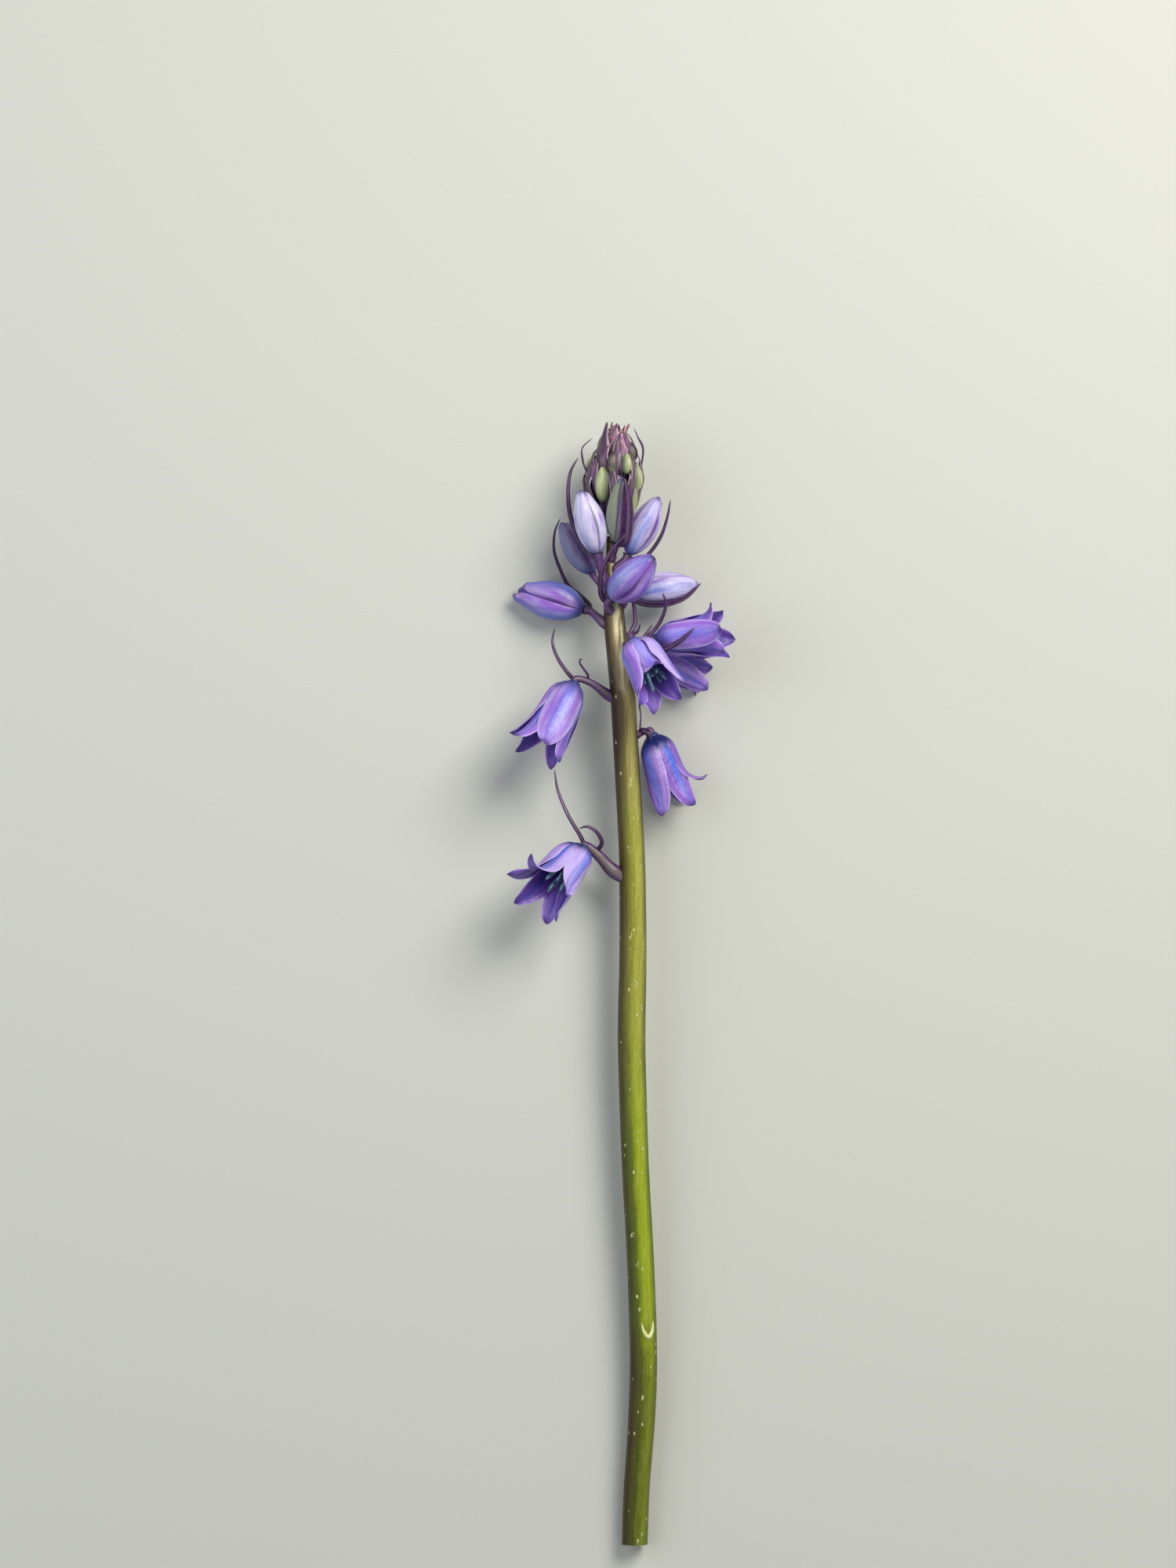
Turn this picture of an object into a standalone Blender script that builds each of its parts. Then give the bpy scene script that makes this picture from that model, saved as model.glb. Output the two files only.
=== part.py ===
"""Squill flower head: a cut bluebell stem with six open bells, seven large buds
and a cone of young buds, lying on its side on a table.

The stem runs along +Y with its tip at +Y, +X is to its right and +Z is up, away
from the table.  Every size is a real one, in millimetres times MM.
"""
import bpy
import bmesh
from math import cos, degrees, pi, radians, sin, sqrt
from mathutils import Vector

MM = 0.001

# Driving dimensions
GAP = 0.32 * MM                 # between two pieces that touch on the plant
WELD = 0.003 * MM               # corners of a joined piece that lie closer become one
CAP_WELD = 0.01 * MM            # the same where a tube meets its caps
SHARP = 40                      # degrees between two faces past which their edge stays sharp
SCAPE_SIDES = 12
SCAPE_STEPS = 28
STALK_SIDES = 6
STALK_STEPS = 8
BLADE = 0.64 * MM               # thickness of a bract
TEPAL = 0.66 * MM               # thickness of a tepal
TEPAL_LENGTH = 18.6 * MM        # along its curve
TEPAL_HALF_WIDTH = 3.15 * MM
BELL_THROAT = 0.90 * MM         # radius on which the tepals' roots stand
DOME_RADIUS = 1.45 * MM         # of the receptacle that carries the tepals
BUD_REACH = 0.28 * MM           # a bud's stalk ends this far below the bud's foot
NECK = 1.1 * MM                 # last stretch of a flower stalk, in line with its flower
LAYER = 0.52 * MM               # outer tepals stand this far out, inner ones this far in
BASE_LEAN = 74                  # degrees from the bell's axis at the tepal's root
BODY_LEAN = 3                   # and along the straight body of the bell
ROOT_CURVE = 0.42               # share of a tepal's length over which its root curves
FLARE_START = 0.55              # share at which its tip starts to flare
PROFILE_STEPS = 60
WIDEST = 0.5                    # share at which it is widest
ROOT_WIDTH = 0.30               # its width at the root, against its widest
TIP_LOSS = 0.84                 # and the share of the width that is lost at the tip
TIP_FLATNESS = 0.5              # how much flatter across its tip is than the bell is round
TEPAL_ROWS = (0.0, 0.13, 0.34, 0.6, 0.83, 1.0)
TEPAL_COLUMNS = (-1, -0.5, 0, 0.5, 1)
BRACT_TAPER = 0.62              # share of a bract's width that is lost towards its tip
DISC_HEIGHT = 0.9 * MM          # the disc on which the stamens and the pistil stand
DISC_SHAPE = ((0.0, 1.1), (1.0, 1.25))
ROOT_DEPTH = 0.4 * MM           # height in the disc at which they start
STAMEN_FOOT = 0.85 * MM         # radius of the ring of their feet
STAMEN_SPREAD = 2.1 * MM        # and of the ring of their tips
STAMEN_LENGTHS = (10.6 * MM, 9.4 * MM)      # the outer and the inner three
STAMEN_SHAPE = ((0.0, 0.36), (0.66, 0.36), (0.82, 0.66), (1.0, 0.30))
PISTIL_LENGTH = 8.4 * MM
PISTIL_SHAPE = ((0.0, 0.9), (0.2, 1.15), (0.45, 0.8), (0.58, 0.40), (1.0, 0.36))
BUD_RINGS = 6
BUD_SIDES = 8
LOBE_SIZE = 0.80                # radius of a bud's lobe against the bud's own
LOBE_OFFSET = 0.27              # how far a lobe's middle stands out from the bud's axis
LOBE_FULLNESS = 0.52            # below 1 its ends are blunt
YOUNG_BUD_SHAPE = ((0.0, 0.40), (0.3, 1.0), (0.7, 0.86), (1.0, 0.22))
CORE_SHAPE = ((0.0, 0.9), (0.1, 1.3), (0.25, 3.4), (0.5, 3.7), (0.75, 2.9), (1.0, 0.7))

PLANT = bpy.data.collections.new("squill_flower_head")
CUTTERS = bpy.data.collections.new("cutters")
REPEATS = bpy.data.collections.new("repeats")

# The stem's centre line (x, y, z) and its radius, from the cut end to the tip
SCAPE = [
    (2.9, -115.0, 2.67, 2.66), (3.3, -104.0, 3.20, 2.66), (4.3, -90.0, 3.90, 2.76),
    (4.7, -76.0, 4.50, 2.80), (4.2, -59.0, 5.20, 2.78), (3.0, -36.0, 6.15, 2.78),
    (2.3, -13.5, 7.05, 2.84), (2.5, 4.0, 7.80, 2.80), (2.5, 16.9, 8.30, 2.72),
    (2.3, 27.0, 8.65, 2.66), (1.5, 40.9, 9.15, 2.58), (0.6, 56.9, 9.70, 2.56),
    (-0.2, 65.0, 9.95, 2.46), (-1.1, 72.5, 10.2, 2.22), (-1.4, 76.9, 10.3, 2.02),
    (-1.7, 80.4, 10.4, 1.52), (-2.0, 85.0, 10.5, 1.02), (-1.9, 91.4, 10.65, 0.92),
]


def mm(point):
    """A point given in millimetres, in metres."""
    return Vector(point[:3]) * MM


def smooth_step(t):
    t = min(1.0, max(0.0, t))
    return t * t * (3 - 2 * t)


def catmull(points, count):
    """count points, evenly spread in parameter, on a smooth curve through points."""
    points = [Vector(p) for p in points]
    ends = [2 * points[0] - points[1]] + points + [2 * points[-1] - points[-2]]
    spans = len(points) - 1
    result = []
    for i in range(count):
        t = spans * i / (count - 1)
        k = min(int(t), spans - 1)
        t -= k
        a, b, c, d = ends[k:k + 4]
        result.append(0.5 * (2 * b + (c - a) * t + (2 * a - 5 * b + 4 * c - d) * t ** 2
                             + (3 * b - a - 3 * c + d) * t ** 3))
    return result


def linear(hex_colour):
    """An sRGB hex colour as linear RGBA."""
    values = [int(hex_colour[i:i + 2], 16) / 255 for i in (0, 2, 4)]
    return [v / 12.92 if v < 0.04045 else ((v + 0.055) / 1.055) ** 2.4 for v in values] + [1.0]


def material(name, hex_colour, roughness):
    mat = bpy.data.materials.get(name) or bpy.data.materials.new(name)
    mat.use_nodes = True
    shader = mat.node_tree.nodes["Principled BSDF"]
    shader.inputs["Base Color"].default_value = linear(hex_colour)
    shader.inputs["Roughness"].default_value = roughness
    shader.inputs["Metallic"].default_value = 0.0
    mat.diffuse_color = linear(hex_colour)
    return mat


def mesh_object(name, bm):
    """The bmesh as an object of the plant, its faces turned outwards."""
    bmesh.ops.recalc_face_normals(bm, faces=bm.faces)
    mesh = bpy.data.meshes.new(name)
    bm.to_mesh(mesh)
    bm.free()
    obj = bpy.data.objects.new(name, mesh)
    PLANT.objects.link(obj)
    return obj


def tube(name, points, sides, steps):
    """A round tube through points (x, y, z, radius) in metres, as a welded mesh."""
    curve = bpy.data.curves.new(name, "CURVE")
    curve.dimensions = "3D"
    curve.bevel_depth = 1.0
    curve.bevel_resolution = (sides - 4) // 2
    curve.use_fill_caps = True
    path = catmull([Vector(p[:3]) for p in points], steps)
    radii = catmull([Vector((p[3], 0, 0)) for p in points], steps)
    spline = curve.splines.new("POLY")
    spline.points.add(steps - 1)
    for point, place, radius in zip(spline.points, path, radii):
        point.co = (*place, 1.0)
        point.radius = radius.x
    holder = bpy.data.objects.new(name + "_curve", curve)
    PLANT.objects.link(holder)
    evaluated = holder.evaluated_get(bpy.context.evaluated_depsgraph_get())
    mesh = bpy.data.meshes.new_from_object(evaluated)
    bm = bmesh.new()
    bm.from_mesh(mesh)
    bmesh.ops.remove_doubles(bm, verts=bm.verts, dist=CAP_WELD)
    obj = mesh_object(name, bm)
    obj.matrix_world = holder.matrix_world
    bpy.data.objects.remove(holder)
    bpy.data.meshes.remove(mesh)
    return obj


def boolean(obj, operation, solver, other=None, collection=None):
    """Applies one Boolean to obj."""
    modifier = obj.modifiers.new(operation, "BOOLEAN")
    modifier.operation = operation
    modifier.solver = solver
    if collection:
        modifier.operand_type = "COLLECTION"
        modifier.collection = collection
    else:
        modifier.object = other
    bpy.context.view_layer.update()
    evaluated = obj.evaluated_get(bpy.context.evaluated_depsgraph_get())
    mesh = bpy.data.meshes.new_from_object(evaluated)
    obj.modifiers.remove(modifier)
    bm = bmesh.new()
    bm.from_mesh(mesh)
    bmesh.ops.triangulate(bm, faces=bm.faces)
    bmesh.ops.remove_doubles(bm, verts=bm.verts, dist=WELD)
    bmesh.ops.dissolve_degenerate(bm, edges=bm.edges, dist=WELD / 2)
    bmesh.ops.triangulate(bm, faces=bm.faces)
    bm.to_mesh(mesh)
    bm.free()
    old = obj.data
    obj.data = mesh
    bpy.data.meshes.remove(old)


def fuse(name, pieces, mat, solver="MANIFOLD"):
    """One closed body out of the pieces, which stand in each other."""
    body = pieces[0]
    for piece in pieces[1:]:
        PLANT.objects.unlink(piece)
        REPEATS.objects.link(piece)
    if len(pieces) > 1:
        boolean(body, "UNION", solver, collection=REPEATS)
    for piece in list(REPEATS.objects):
        bpy.data.objects.remove(piece)
    return finish(body, name, mat)


def finish(body, name, mat):
    body.name = name
    body.data.name = name
    body.data.materials.clear()
    body.data.materials.append(mat)
    body.data.shade_smooth()
    body.data.set_sharp_from_angle(angle=radians(SHARP))
    return body


def blade(name, grid, thickness):
    """A thin solid on a grid of points, whose two faces are split into triangles alike."""
    rows = len(grid)
    columns = len(grid[0])
    bm = bmesh.new()
    faces = []
    for sign in (1, -1):
        side = []
        for i in range(rows):
            for j in range(columns):
                along = grid[min(i + 1, rows - 1)][j] - grid[max(i - 1, 0)][j]
                across = grid[i][min(j + 1, columns - 1)] - grid[i][max(j - 1, 0)]
                normal = along.cross(across).normalized()
                side.append(bm.verts.new(grid[i][j] + normal * sign * thickness / 2))
        faces.append(side)
    top, bottom = faces
    for i in range(rows - 1):
        for j in range(columns - 1):
            a = i * columns + j
            b = a + 1
            c = a + columns + 1
            d = a + columns
            if j < (columns - 1) / 2:
                halves = ((a, b, c), (a, c, d))
            else:
                halves = ((a, b, d), (b, c, d))
            for half in halves:
                bm.faces.new([top[k] for k in half])
                bm.faces.new([bottom[k] for k in reversed(half)])
    rim = list(range(columns))
    rim += [i * columns + columns - 1 for i in range(1, rows)]
    rim += [(rows - 1) * columns + j for j in range(columns - 2, -1, -1)]
    rim += [i * columns for i in range(rows - 2, 0, -1)]
    for a, b in zip(rim, rim[1:] + rim[:1]):
        bm.faces.new((top[a], top[b], bottom[b]))
        bm.faces.new((top[a], bottom[b], bottom[a]))
    return mesh_object(name, bm)


def bract(name, points, half_width, facing, steps):
    """A slender leaf along points (mm): widest near its foot, drawn out to a fine tip."""
    path = catmull([mm(p) for p in points], steps)
    grid = []
    for i, place in enumerate(path):
        t = i / (steps - 1)
        along = path[min(i + 1, steps - 1)] - path[max(i - 1, 0)]
        across = along.cross(Vector(facing)).normalized()
        width = half_width * MM * (1 - BRACT_TAPER * t ** 1.6)
        grid.append([place - across * width, place + across * width])
    return blade(name, grid, BLADE)


def scape():
    """The stem: a fleshy round stalk, thick below and drawn in sharply between the buds."""
    return tube("scape", [(x * MM, y * MM, z * MM, r * MM) for x, y, z, r in SCAPE],
                SCAPE_SIDES, SCAPE_STEPS)


def clearance():
    """The room round the stem that the foot of each flower stalk is cut back to."""
    room = tube("scape_room", [(x * MM, y * MM, z * MM, r * MM + GAP) for x, y, z, r in SCAPE],
                SCAPE_SIDES, SCAPE_STEPS)
    PLANT.objects.unlink(room)
    CUTTERS.objects.link(room)
    room.hide_render = True
    room.display_type = "WIRE"
    return room


def stalk(name, path, radii, base, tip, reach, bracts, room, mat):
    """A flower stalk from inside the stem to just short of its flower, with its bracts."""
    axis = bell_frame(base, tip)[0]
    end = mm(base) - axis * reach
    centre = [mm(p) for p in path] + [end - axis * NECK, end]
    widths = [r * MM for r in radii]
    tube_points = [(*p, r) for p, r in zip(centre, widths + widths[-1:])]
    pieces = [tube(name, tube_points, STALK_SIDES, STALK_STEPS)]
    line = catmull(centre, 41)
    for i, leaf in enumerate(bracts):
        foot = line[round(leaf["foot"] * (len(line) - 1))] / MM
        pieces.append(bract(f"{name}_bract_{i}", [foot] + leaf["points"], leaf["half_width"],
                            leaf.get("facing", (0, 0, 1)), leaf["steps"]))
    obj = fuse(name, pieces, mat)
    boolean(obj, "DIFFERENCE", "MANIFOLD", other=room)
    return finish(obj, name, mat)


def bell_frame(base, mouth):
    """Axis of a bell, the way up across it and the way to its right."""
    axis = (mm(mouth) - mm(base)).normalized()
    up = (Vector((0, 0, 1)) - axis * axis.z).normalized()
    return axis, up, up.cross(axis)


def tepal_profile(length, flare, shares):
    """Radius and height along a tepal's middle, at the given shares of its length."""
    radius = BELL_THROAT
    height = 0.0
    track = [(radius, height)]
    for i in range(PROFILE_STEPS):
        s = (i + 0.5) / PROFILE_STEPS
        lean = BODY_LEAN + BASE_LEAN * max(0.0, 1 - s / ROOT_CURVE) ** 2
        lean += flare * max(0.0, (s - FLARE_START) / (1 - FLARE_START)) ** 1.5
        radius += sin(radians(lean)) * length / PROFILE_STEPS
        height += cos(radians(lean)) * length / PROFILE_STEPS
        track.append((radius, height))
    return [track[round(s * PROFILE_STEPS)] for s in shares]


def tepal_share(s):
    """Half width of a tepal at share s of its length, against its widest."""
    rise = ROOT_WIDTH + (1 - ROOT_WIDTH) * sin(pi / 2 * min(1.0, s / WIDEST))
    return rise * (1 - TIP_LOSS * max(0.0, (s - WIDEST) / (1 - WIDEST)) ** 2.8)


def bell(name, base, mouth, turns, width, flares, lengths, mat):
    """Six tepals, three outer and three inner, on a small dome."""
    axis, up, right = bell_frame(base, mouth)
    origin = mm(base)
    bm = bmesh.new()
    bmesh.ops.create_uvsphere(bm, u_segments=8, v_segments=5, radius=DOME_RADIUS)
    dome = mesh_object(name, bm)
    dome.data.transform(axis.to_track_quat("Z", "X").to_matrix().to_4x4())
    for vertex in dome.data.vertices:
        vertex.co += origin
    pieces = [dome]
    for k in range(6):
        angle = radians(turns[k])
        layer = LAYER if k % 2 == 0 else -LAYER
        length = TEPAL_LENGTH * lengths[k]
        grid = []
        for s, (radius, height) in zip(TEPAL_ROWS, tepal_profile(length, flares[k], TEPAL_ROWS)):
            radius += layer * smooth_step(4 * s)
            bend = radius * (1 + TIP_FLATNESS * s ** 3)
            row = []
            for q in TEPAL_COLUMNS:
                across = q * TEPAL_HALF_WIDTH * width * tepal_share(s)
                psi = across / bend
                r = radius - bend * (1 - cos(psi))
                t = bend * sin(psi)
                outward = up * cos(angle) + right * sin(angle)
                sideways = right * cos(angle) - up * sin(angle)
                row.append(origin + axis * height + outward * r + sideways * t)
            grid.append(row)
        pieces.append(blade(f"{name}_tepal_{k}", grid, TEPAL))
    return fuse(name, pieces, mat)


def turned(name, start, end, shape, scale, sides):
    """A round piece from start to end in metres; shape gives its radius at shares of the way."""
    axis = end - start
    turn = axis.to_track_quat("Z", "X").to_matrix()
    bm = bmesh.new()
    rings = []
    for share, radius in shape:
        ring = []
        for j in range(sides):
            psi = 2 * pi * j / sides
            across = turn @ Vector((cos(psi), sin(psi), 0)) * radius * scale
            ring.append(bm.verts.new(start + axis * share + across))
        rings.append(ring)
    for low, high in zip(rings, rings[1:]):
        for j in range(sides):
            k = (j + 1) % sides
            bm.faces.new((low[j], low[k], high[k], high[j]))
    bm.faces.new(rings[0])
    bm.faces.new(rings[-1])
    return mesh_object(name, bm)


def stamens(name, base, mouth, turn, mat):
    """Six stamens round the pistil, on one small disc above the bell's floor."""
    axis, up, right = bell_frame(base, mouth)
    floor = mm(base) + axis * (DOME_RADIUS + GAP)
    pieces = [turned(name, floor, floor + axis * DISC_HEIGHT, DISC_SHAPE, MM, 6),
              turned(name + "_pistil", floor + axis * ROOT_DEPTH, floor + axis * PISTIL_LENGTH,
                     PISTIL_SHAPE, MM, 5)]
    for k in range(6):
        angle = radians(turn + 60 * k)
        outward = up * cos(angle) + right * sin(angle)
        foot = floor + axis * ROOT_DEPTH + outward * STAMEN_FOOT
        tip = floor + axis * STAMEN_LENGTHS[k % 2] + outward * STAMEN_SPREAD
        pieces.append(turned(f"{name}_{k}", foot, tip, STAMEN_SHAPE, MM, 4))
    return fuse(name, pieces, mat)


def bud(name, base, tip, radius, spread, turn, mat):
    """A closed flower: three outer tepals side by side, with grooves between them, whose
    tips stand spread (mm) out from its axis."""
    axis, up, right = bell_frame(base, tip)
    length = (mm(tip) - mm(base)).length
    pieces = []
    for k in range(3):
        angle = radians(turn + 120 * k)
        outward = up * cos(angle) + right * sin(angle)
        sideways = right * cos(angle) - up * sin(angle)
        bm = bmesh.new()
        previous = None
        for i in range(BUD_RINGS):
            s = (i + 0.08) / (BUD_RINGS - 0.84)
            size = radius * MM * LOBE_SIZE * sin(pi * s ** 0.88) ** LOBE_FULLNESS
            stand = radius * LOBE_OFFSET * sin(pi * min(1.0, s * 1.15)) + spread * s ** 5
            place = mm(base) + axis * length * s + outward * stand * MM
            ring = []
            for j in range(BUD_SIDES):
                psi = 2 * pi * j / BUD_SIDES
                ring.append(bm.verts.new(place + outward * size * cos(psi)
                                         + sideways * size * sin(psi)))
            if previous:
                for j in range(BUD_SIDES):
                    m = (j + 1) % BUD_SIDES
                    bm.faces.new((previous[j], previous[m], ring[m], ring[j]))
            else:
                bm.faces.new(ring)
            previous = ring
        bm.faces.new(previous)
        pieces.append(mesh_object(f"{name}_lobe_{k}", bm))
    return fuse(name, pieces, mat)


# Each flower stalk starts inside the stem, follows its path (mm) and ends short of the
# flower's base.  turns are the places of its tepals, outer and inner in turn, from the side
# away from the table, in degrees towards the right of the bell's axis.  Each tepal has its own
# flare at the tip (degrees) and length (against TEPAL_LENGTH).  A bract's foot is a share of
# its stalk's length.
FLOWERS = {
    "flower_1": dict(
        path=[(2.3, 20.6, 8.5), (-1.4, 23.4, 9.4), (-4.6, 27.0, 9.8)], radii=(0.9, 1.1, 1.05, 0.8),
        base=(-7.0, 28.0, 11.6), mouth=(-15.4, 18.0, 21.0), width=0.95,
        turns=(30, 90, 150, 210, 270, 310), flares=(30, 35, 52, 40, 58, 128),
        lengths=(1.0, 0.98, 1.02, 1.04, 1.06, 1.02),
        bracts=[dict(foot=0.78, points=[(-7.6, 31.2, 11.6), (-10.4, 35.4, 11.8),
                                       (-12.6, 40.0, 10.6), (-13.5, 44.0, 8.8)],
                     half_width=0.62, steps=8),
                dict(foot=0.55, points=[(-3.7, 28.9, 12.4), (-4.9, 31.0, 13.6),
                                        (-7.0, 32.2, 14.2), (-8.8, 31.9, 13.9)],
                     half_width=0.62, steps=8)]),
    "flower_2": dict(
        path=[(1.4, 50.9, 9.2), (3.5, 52.2, 8.6), (5.0, 52.6, 8.4)], radii=(0.85, 0.85, 0.8, 0.8),
        base=(6.85, 49.8, 7.3), mouth=(11.25, 37.0, 6.7), width=0.93,
        turns=(-37, 34, 90, 155, 216, 270), flares=(18, 34, 108, 30, 20, 10),
        lengths=(0.94, 0.95, 0.80, 0.92, 0.90, 0.86),
        bracts=[dict(foot=0.35, points=[(4.2, 54.4, 7.4), (4.0, 56.6, 7.6), (3.8, 58.8, 8.2)],
                     half_width=0.6, facing=(1, 0, 0.4), steps=5)]),
    "flower_3": dict(
        path=[(0.4, 57.0, 9.6), (-3.3, 59.3, 10.2), (-6.4, 62.2, 10.4)], radii=(0.9, 1.0, 0.95, 0.75),
        base=(-9.5, 61.2, 12.0), mouth=(-16.4, 48.0, 17.4), width=1.02,
        turns=(5, 65, 125, 185, 245, 305), flares=(24, 46, 40, 30, 34, 50),
        lengths=(0.97, 1.0, 1.0, 1.03, 1.02, 1.0),
        bracts=[dict(foot=0.88, points=[(-10.6, 64.0, 12.6), (-12.9, 66.2, 11.8),
                                        (-13.9, 69.8, 10.6), (-13.3, 73.0, 9.8)],
                     half_width=0.6, steps=8),
                dict(foot=0.55, points=[(-7.2, 63.6, 12.4), (-8.3, 65.4, 13.4),
                                        (-8.2, 66.6, 13.7), (-7.5, 66.3, 13.3)],
                     half_width=0.45, steps=8)]),
    "flower_4": dict(
        path=[(-0.4, 67.6, 10.6), (0.9, 69.6, 13.2), (1.6, 71.2, 15.2)], radii=(0.9, 0.8, 0.75, 0.75),
        base=(3.3, 70.2, 18.2), mouth=(8.9, 59.6, 27.2), width=1.0,
        turns=(-56, 16, 78, 150, 210, 262), flares=(22, 86, 8, 26, 40, 30),
        lengths=(0.90, 0.82, 0.98, 0.90, 0.87, 0.84),
        bracts=[dict(foot=0.72, points=[(2.9, 74.2, 15.2), (2.8, 76.4, 13.9), (2.5, 78.0, 13.0)],
                     half_width=0.62, steps=6),
                dict(foot=0.78, points=[(3.6, 72.9, 17.2), (4.5, 73.9, 17.8)],
                     half_width=0.5, steps=4)]),
    "flower_5": dict(
        path=[(-0.4, 66.8, 10.4), (2.6, 68.6, 11.6), (4.0, 69.6, 13.0)], radii=(0.85, 0.8, 0.75, 0.75),
        base=(7.4, 70.3, 14.4), mouth=(22.4, 71.9, 16.0), width=1.0,
        turns=(8, 64, 136, 196, 240, 308), flares=(56, 92, 44, 14, 26, 46),
        lengths=(0.87, 0.82, 0.84, 0.92, 0.84, 0.84),
        bracts=[dict(foot=0.75, points=[(7.0, 73.6, 13.6), (8.8, 77.3, 15.6), (8.2, 79.6, 16.6)],
                     half_width=0.6, steps=7)]),
    "flower_6": dict(
        path=[(-0.3, 65.0, 9.8), (2.2, 66.6, 8.9), (3.6, 67.8, 8.4)], radii=(0.85, 0.8, 0.75, 0.75),
        base=(6.2, 68.0, 6.9), mouth=(16.6, 62.9, 5.5), width=0.92,
        turns=(-25, 35, 95, 150, 210, 280), flares=(26, 30, 36, 36, 22, 20),
        lengths=(0.79, 0.74, 0.78, 0.76, 0.78, 0.72),
        bracts=[dict(foot=0.7, points=[(4.9, 71.0, 6.4), (6.6, 73.6, 5.2)],
                     half_width=0.6, steps=4)]),
}

# A bud's turn is the place of its first lobe, and its base, tip and radius are in mm.
BUDS = {
    "bud_1": dict(
        path=[(-1.2, 71.9, 10.2), (-3.6, 74.0, 9.4), (-5.4, 75.6, 7.4)], radii=(0.85, 0.9, 0.8, 0.75),
        base=(-7.4, 76.6, 5.7), tip=(-21.6, 79.9, 2.4), radius=3.75, spread=1.2, turn=60,
        bracts=[dict(foot=0.66, points=[(-6.9, 79.2, 5.2), (-9.4, 82.0, 2.0),
                                        (-12.6, 84.6, 2.2), (-13.6, 88.6, 3.6),
                                        (-13.4, 92.6, 5.4), (-12.2, 95.4, 7.4)],
                     half_width=0.62, steps=10)]),
    "bud_2": dict(
        path=[(-1.5, 75.2, 10.6), (-2.6, 76.2, 12.6)], radii=(0.9, 0.95, 0.8),
        base=(-1.8, 78.7, 14.8), tip=(6.8, 86.9, 21.6), radius=3.7, spread=0.5, turn=-25,
        bracts=[dict(foot=0.6, points=[(-4.4, 79.8, 15.2), (-4.2, 83.6, 17.2),
                                       (-2.1, 88.0, 18.6), (1.3, 91.8, 19.2)],
                     half_width=0.75, steps=8)]),
    "bud_3": dict(
        path=[(-1.4, 76.8, 10.2), (0.6, 78.0, 10.0)], radii=(0.8, 0.85, 0.8),
        base=(2.9, 79.0, 9.2), tip=(16.2, 82.3, 7.4), radius=3.35, spread=0.5, turn=0,
        bracts=[dict(foot=0.6, points=[(4.2, 76.2, 9.0), (8.8, 76.0, 9.3),
                                       (13.0, 77.8, 9.2), (16.6, 81.6, 9.6)],
                     half_width=0.75, steps=8)]),
    "bud_4": dict(
        path=[(-1.6, 78.4, 10.3), (-3.2, 80.6, 9.6)], radii=(0.8, 0.85, 0.8),
        base=(-5.2, 83.2, 8.8), tip=(-12.3, 93.6, 8.0), radius=2.9, spread=0.5, turn=40,
        bracts=[]),
    "bud_5": dict(
        path=[(-1.8, 79.8, 10.6), (-3.2, 82.4, 12.2), (-4.0, 84.8, 13.4)], radii=(0.8, 0.85, 0.9, 0.85),
        base=(-4.8, 88.0, 14.6), tip=(-8.1, 100.7, 17.4), radius=3.05, spread=0.5, turn=30,
        bracts=[dict(foot=0.66, points=[(-7.4, 89.4, 12.6), (-10.0, 94.6, 12.8),
                                        (-10.7, 99.8, 13.4), (-10.2, 104.4, 13.2),
                                        (-8.6, 107.4, 12.8)],
                     half_width=0.75, steps=9)]),
    "bud_6": dict(
        path=[(-1.9, 83.6, 10.5), (-0.4, 85.4, 11.4)], radii=(0.7, 0.8, 0.75),
        base=(1.6, 87.8, 12.3), tip=(7.9, 99.3, 13.6), radius=2.85, spread=0.5, turn=0,
        bracts=[dict(foot=0.6, points=[(4.4, 86.6, 10.8), (7.8, 90.6, 10.8),
                                       (9.4, 94.8, 11.8), (10.2, 99.0, 12.8)],
                     half_width=0.62, steps=8)]),
    "bud_7": dict(
        path=[(-1.9, 86.0, 10.7), (-1.6, 87.6, 11.8)], radii=(0.7, 0.75, 0.7),
        base=(-1.0, 90.2, 14.2), tip=(0.2, 102.8, 20.6), radius=2.2, spread=0.5, turn=60,
        bracts=[dict(foot=0.7, points=[(0.9, 90.2, 16.0), (2.0, 94.6, 18.6),
                                       (1.8, 99.4, 21.2), (0.9, 103.4, 22.8)], half_width=1.0,
                     facing=(0.6, -0.3, 1), steps=7)]),
}

# The cone of young buds, in mm: its foot on the stem's end, its axis, the shell on which its
# buds stand, and the buds that show on the side away from the table, as (turn about the axis
# from that side, height and radius of the foot, height and radius of the tip, half width).
# The core in which they are rooted follows CORE_SHAPE.
CONE_FOOT = (-1.9, 91.75, 10.65)
CONE_AXIS = ((-1.5, 96.0, 10.8), (-0.8, 113.0, 11.4))
CONE_RADIUS = 5.0
CONE_BOTTOM = -4.0              # height along the axis at which the lowest buds stand
CONE_WAIST = 1.4                # radius of the shell there
CONE_WIDENING = 0.75            # and how fast it grows from there
CONE_SHOULDER = 3.0             # height at which the shell starts to narrow
CONE_TAPER = 14.5               # over this height, to nothing
BUD_MIDDLE = 0.5                # from the shell out to the middle of a bud on it
CORE_HEIGHT = 15.0
CORE_SIDES = 8
FRONT_BUDS = [
    (-32, 2.3, 3.9, 9.6, 4.7, 1.85), (66, 4.2, 4.3, 10.6, 4.5, 1.55),
    (-84, 6.4, 4.4, 11.8, 4.2, 1.50), (-6, 8.2, 4.2, 12.8, 3.8, 1.50),
    (32, 6.6, 4.3, 12.0, 3.9, 1.50), (-92, -3.4, 1.2, 7.6, 5.4, 1.70),
    (62, -3.6, 1.2, 7.0, 4.9, 1.75), (100, -1.5, 1.6, 6.6, 5.0, 1.60),
    (-46, 11.0, 3.3, 15.2, 2.4, 1.20), (16, 12.2, 2.8, 16.4, 1.6, 1.15),
    (72, 10.8, 3.2, 15.0, 2.4, 1.15),
]
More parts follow.
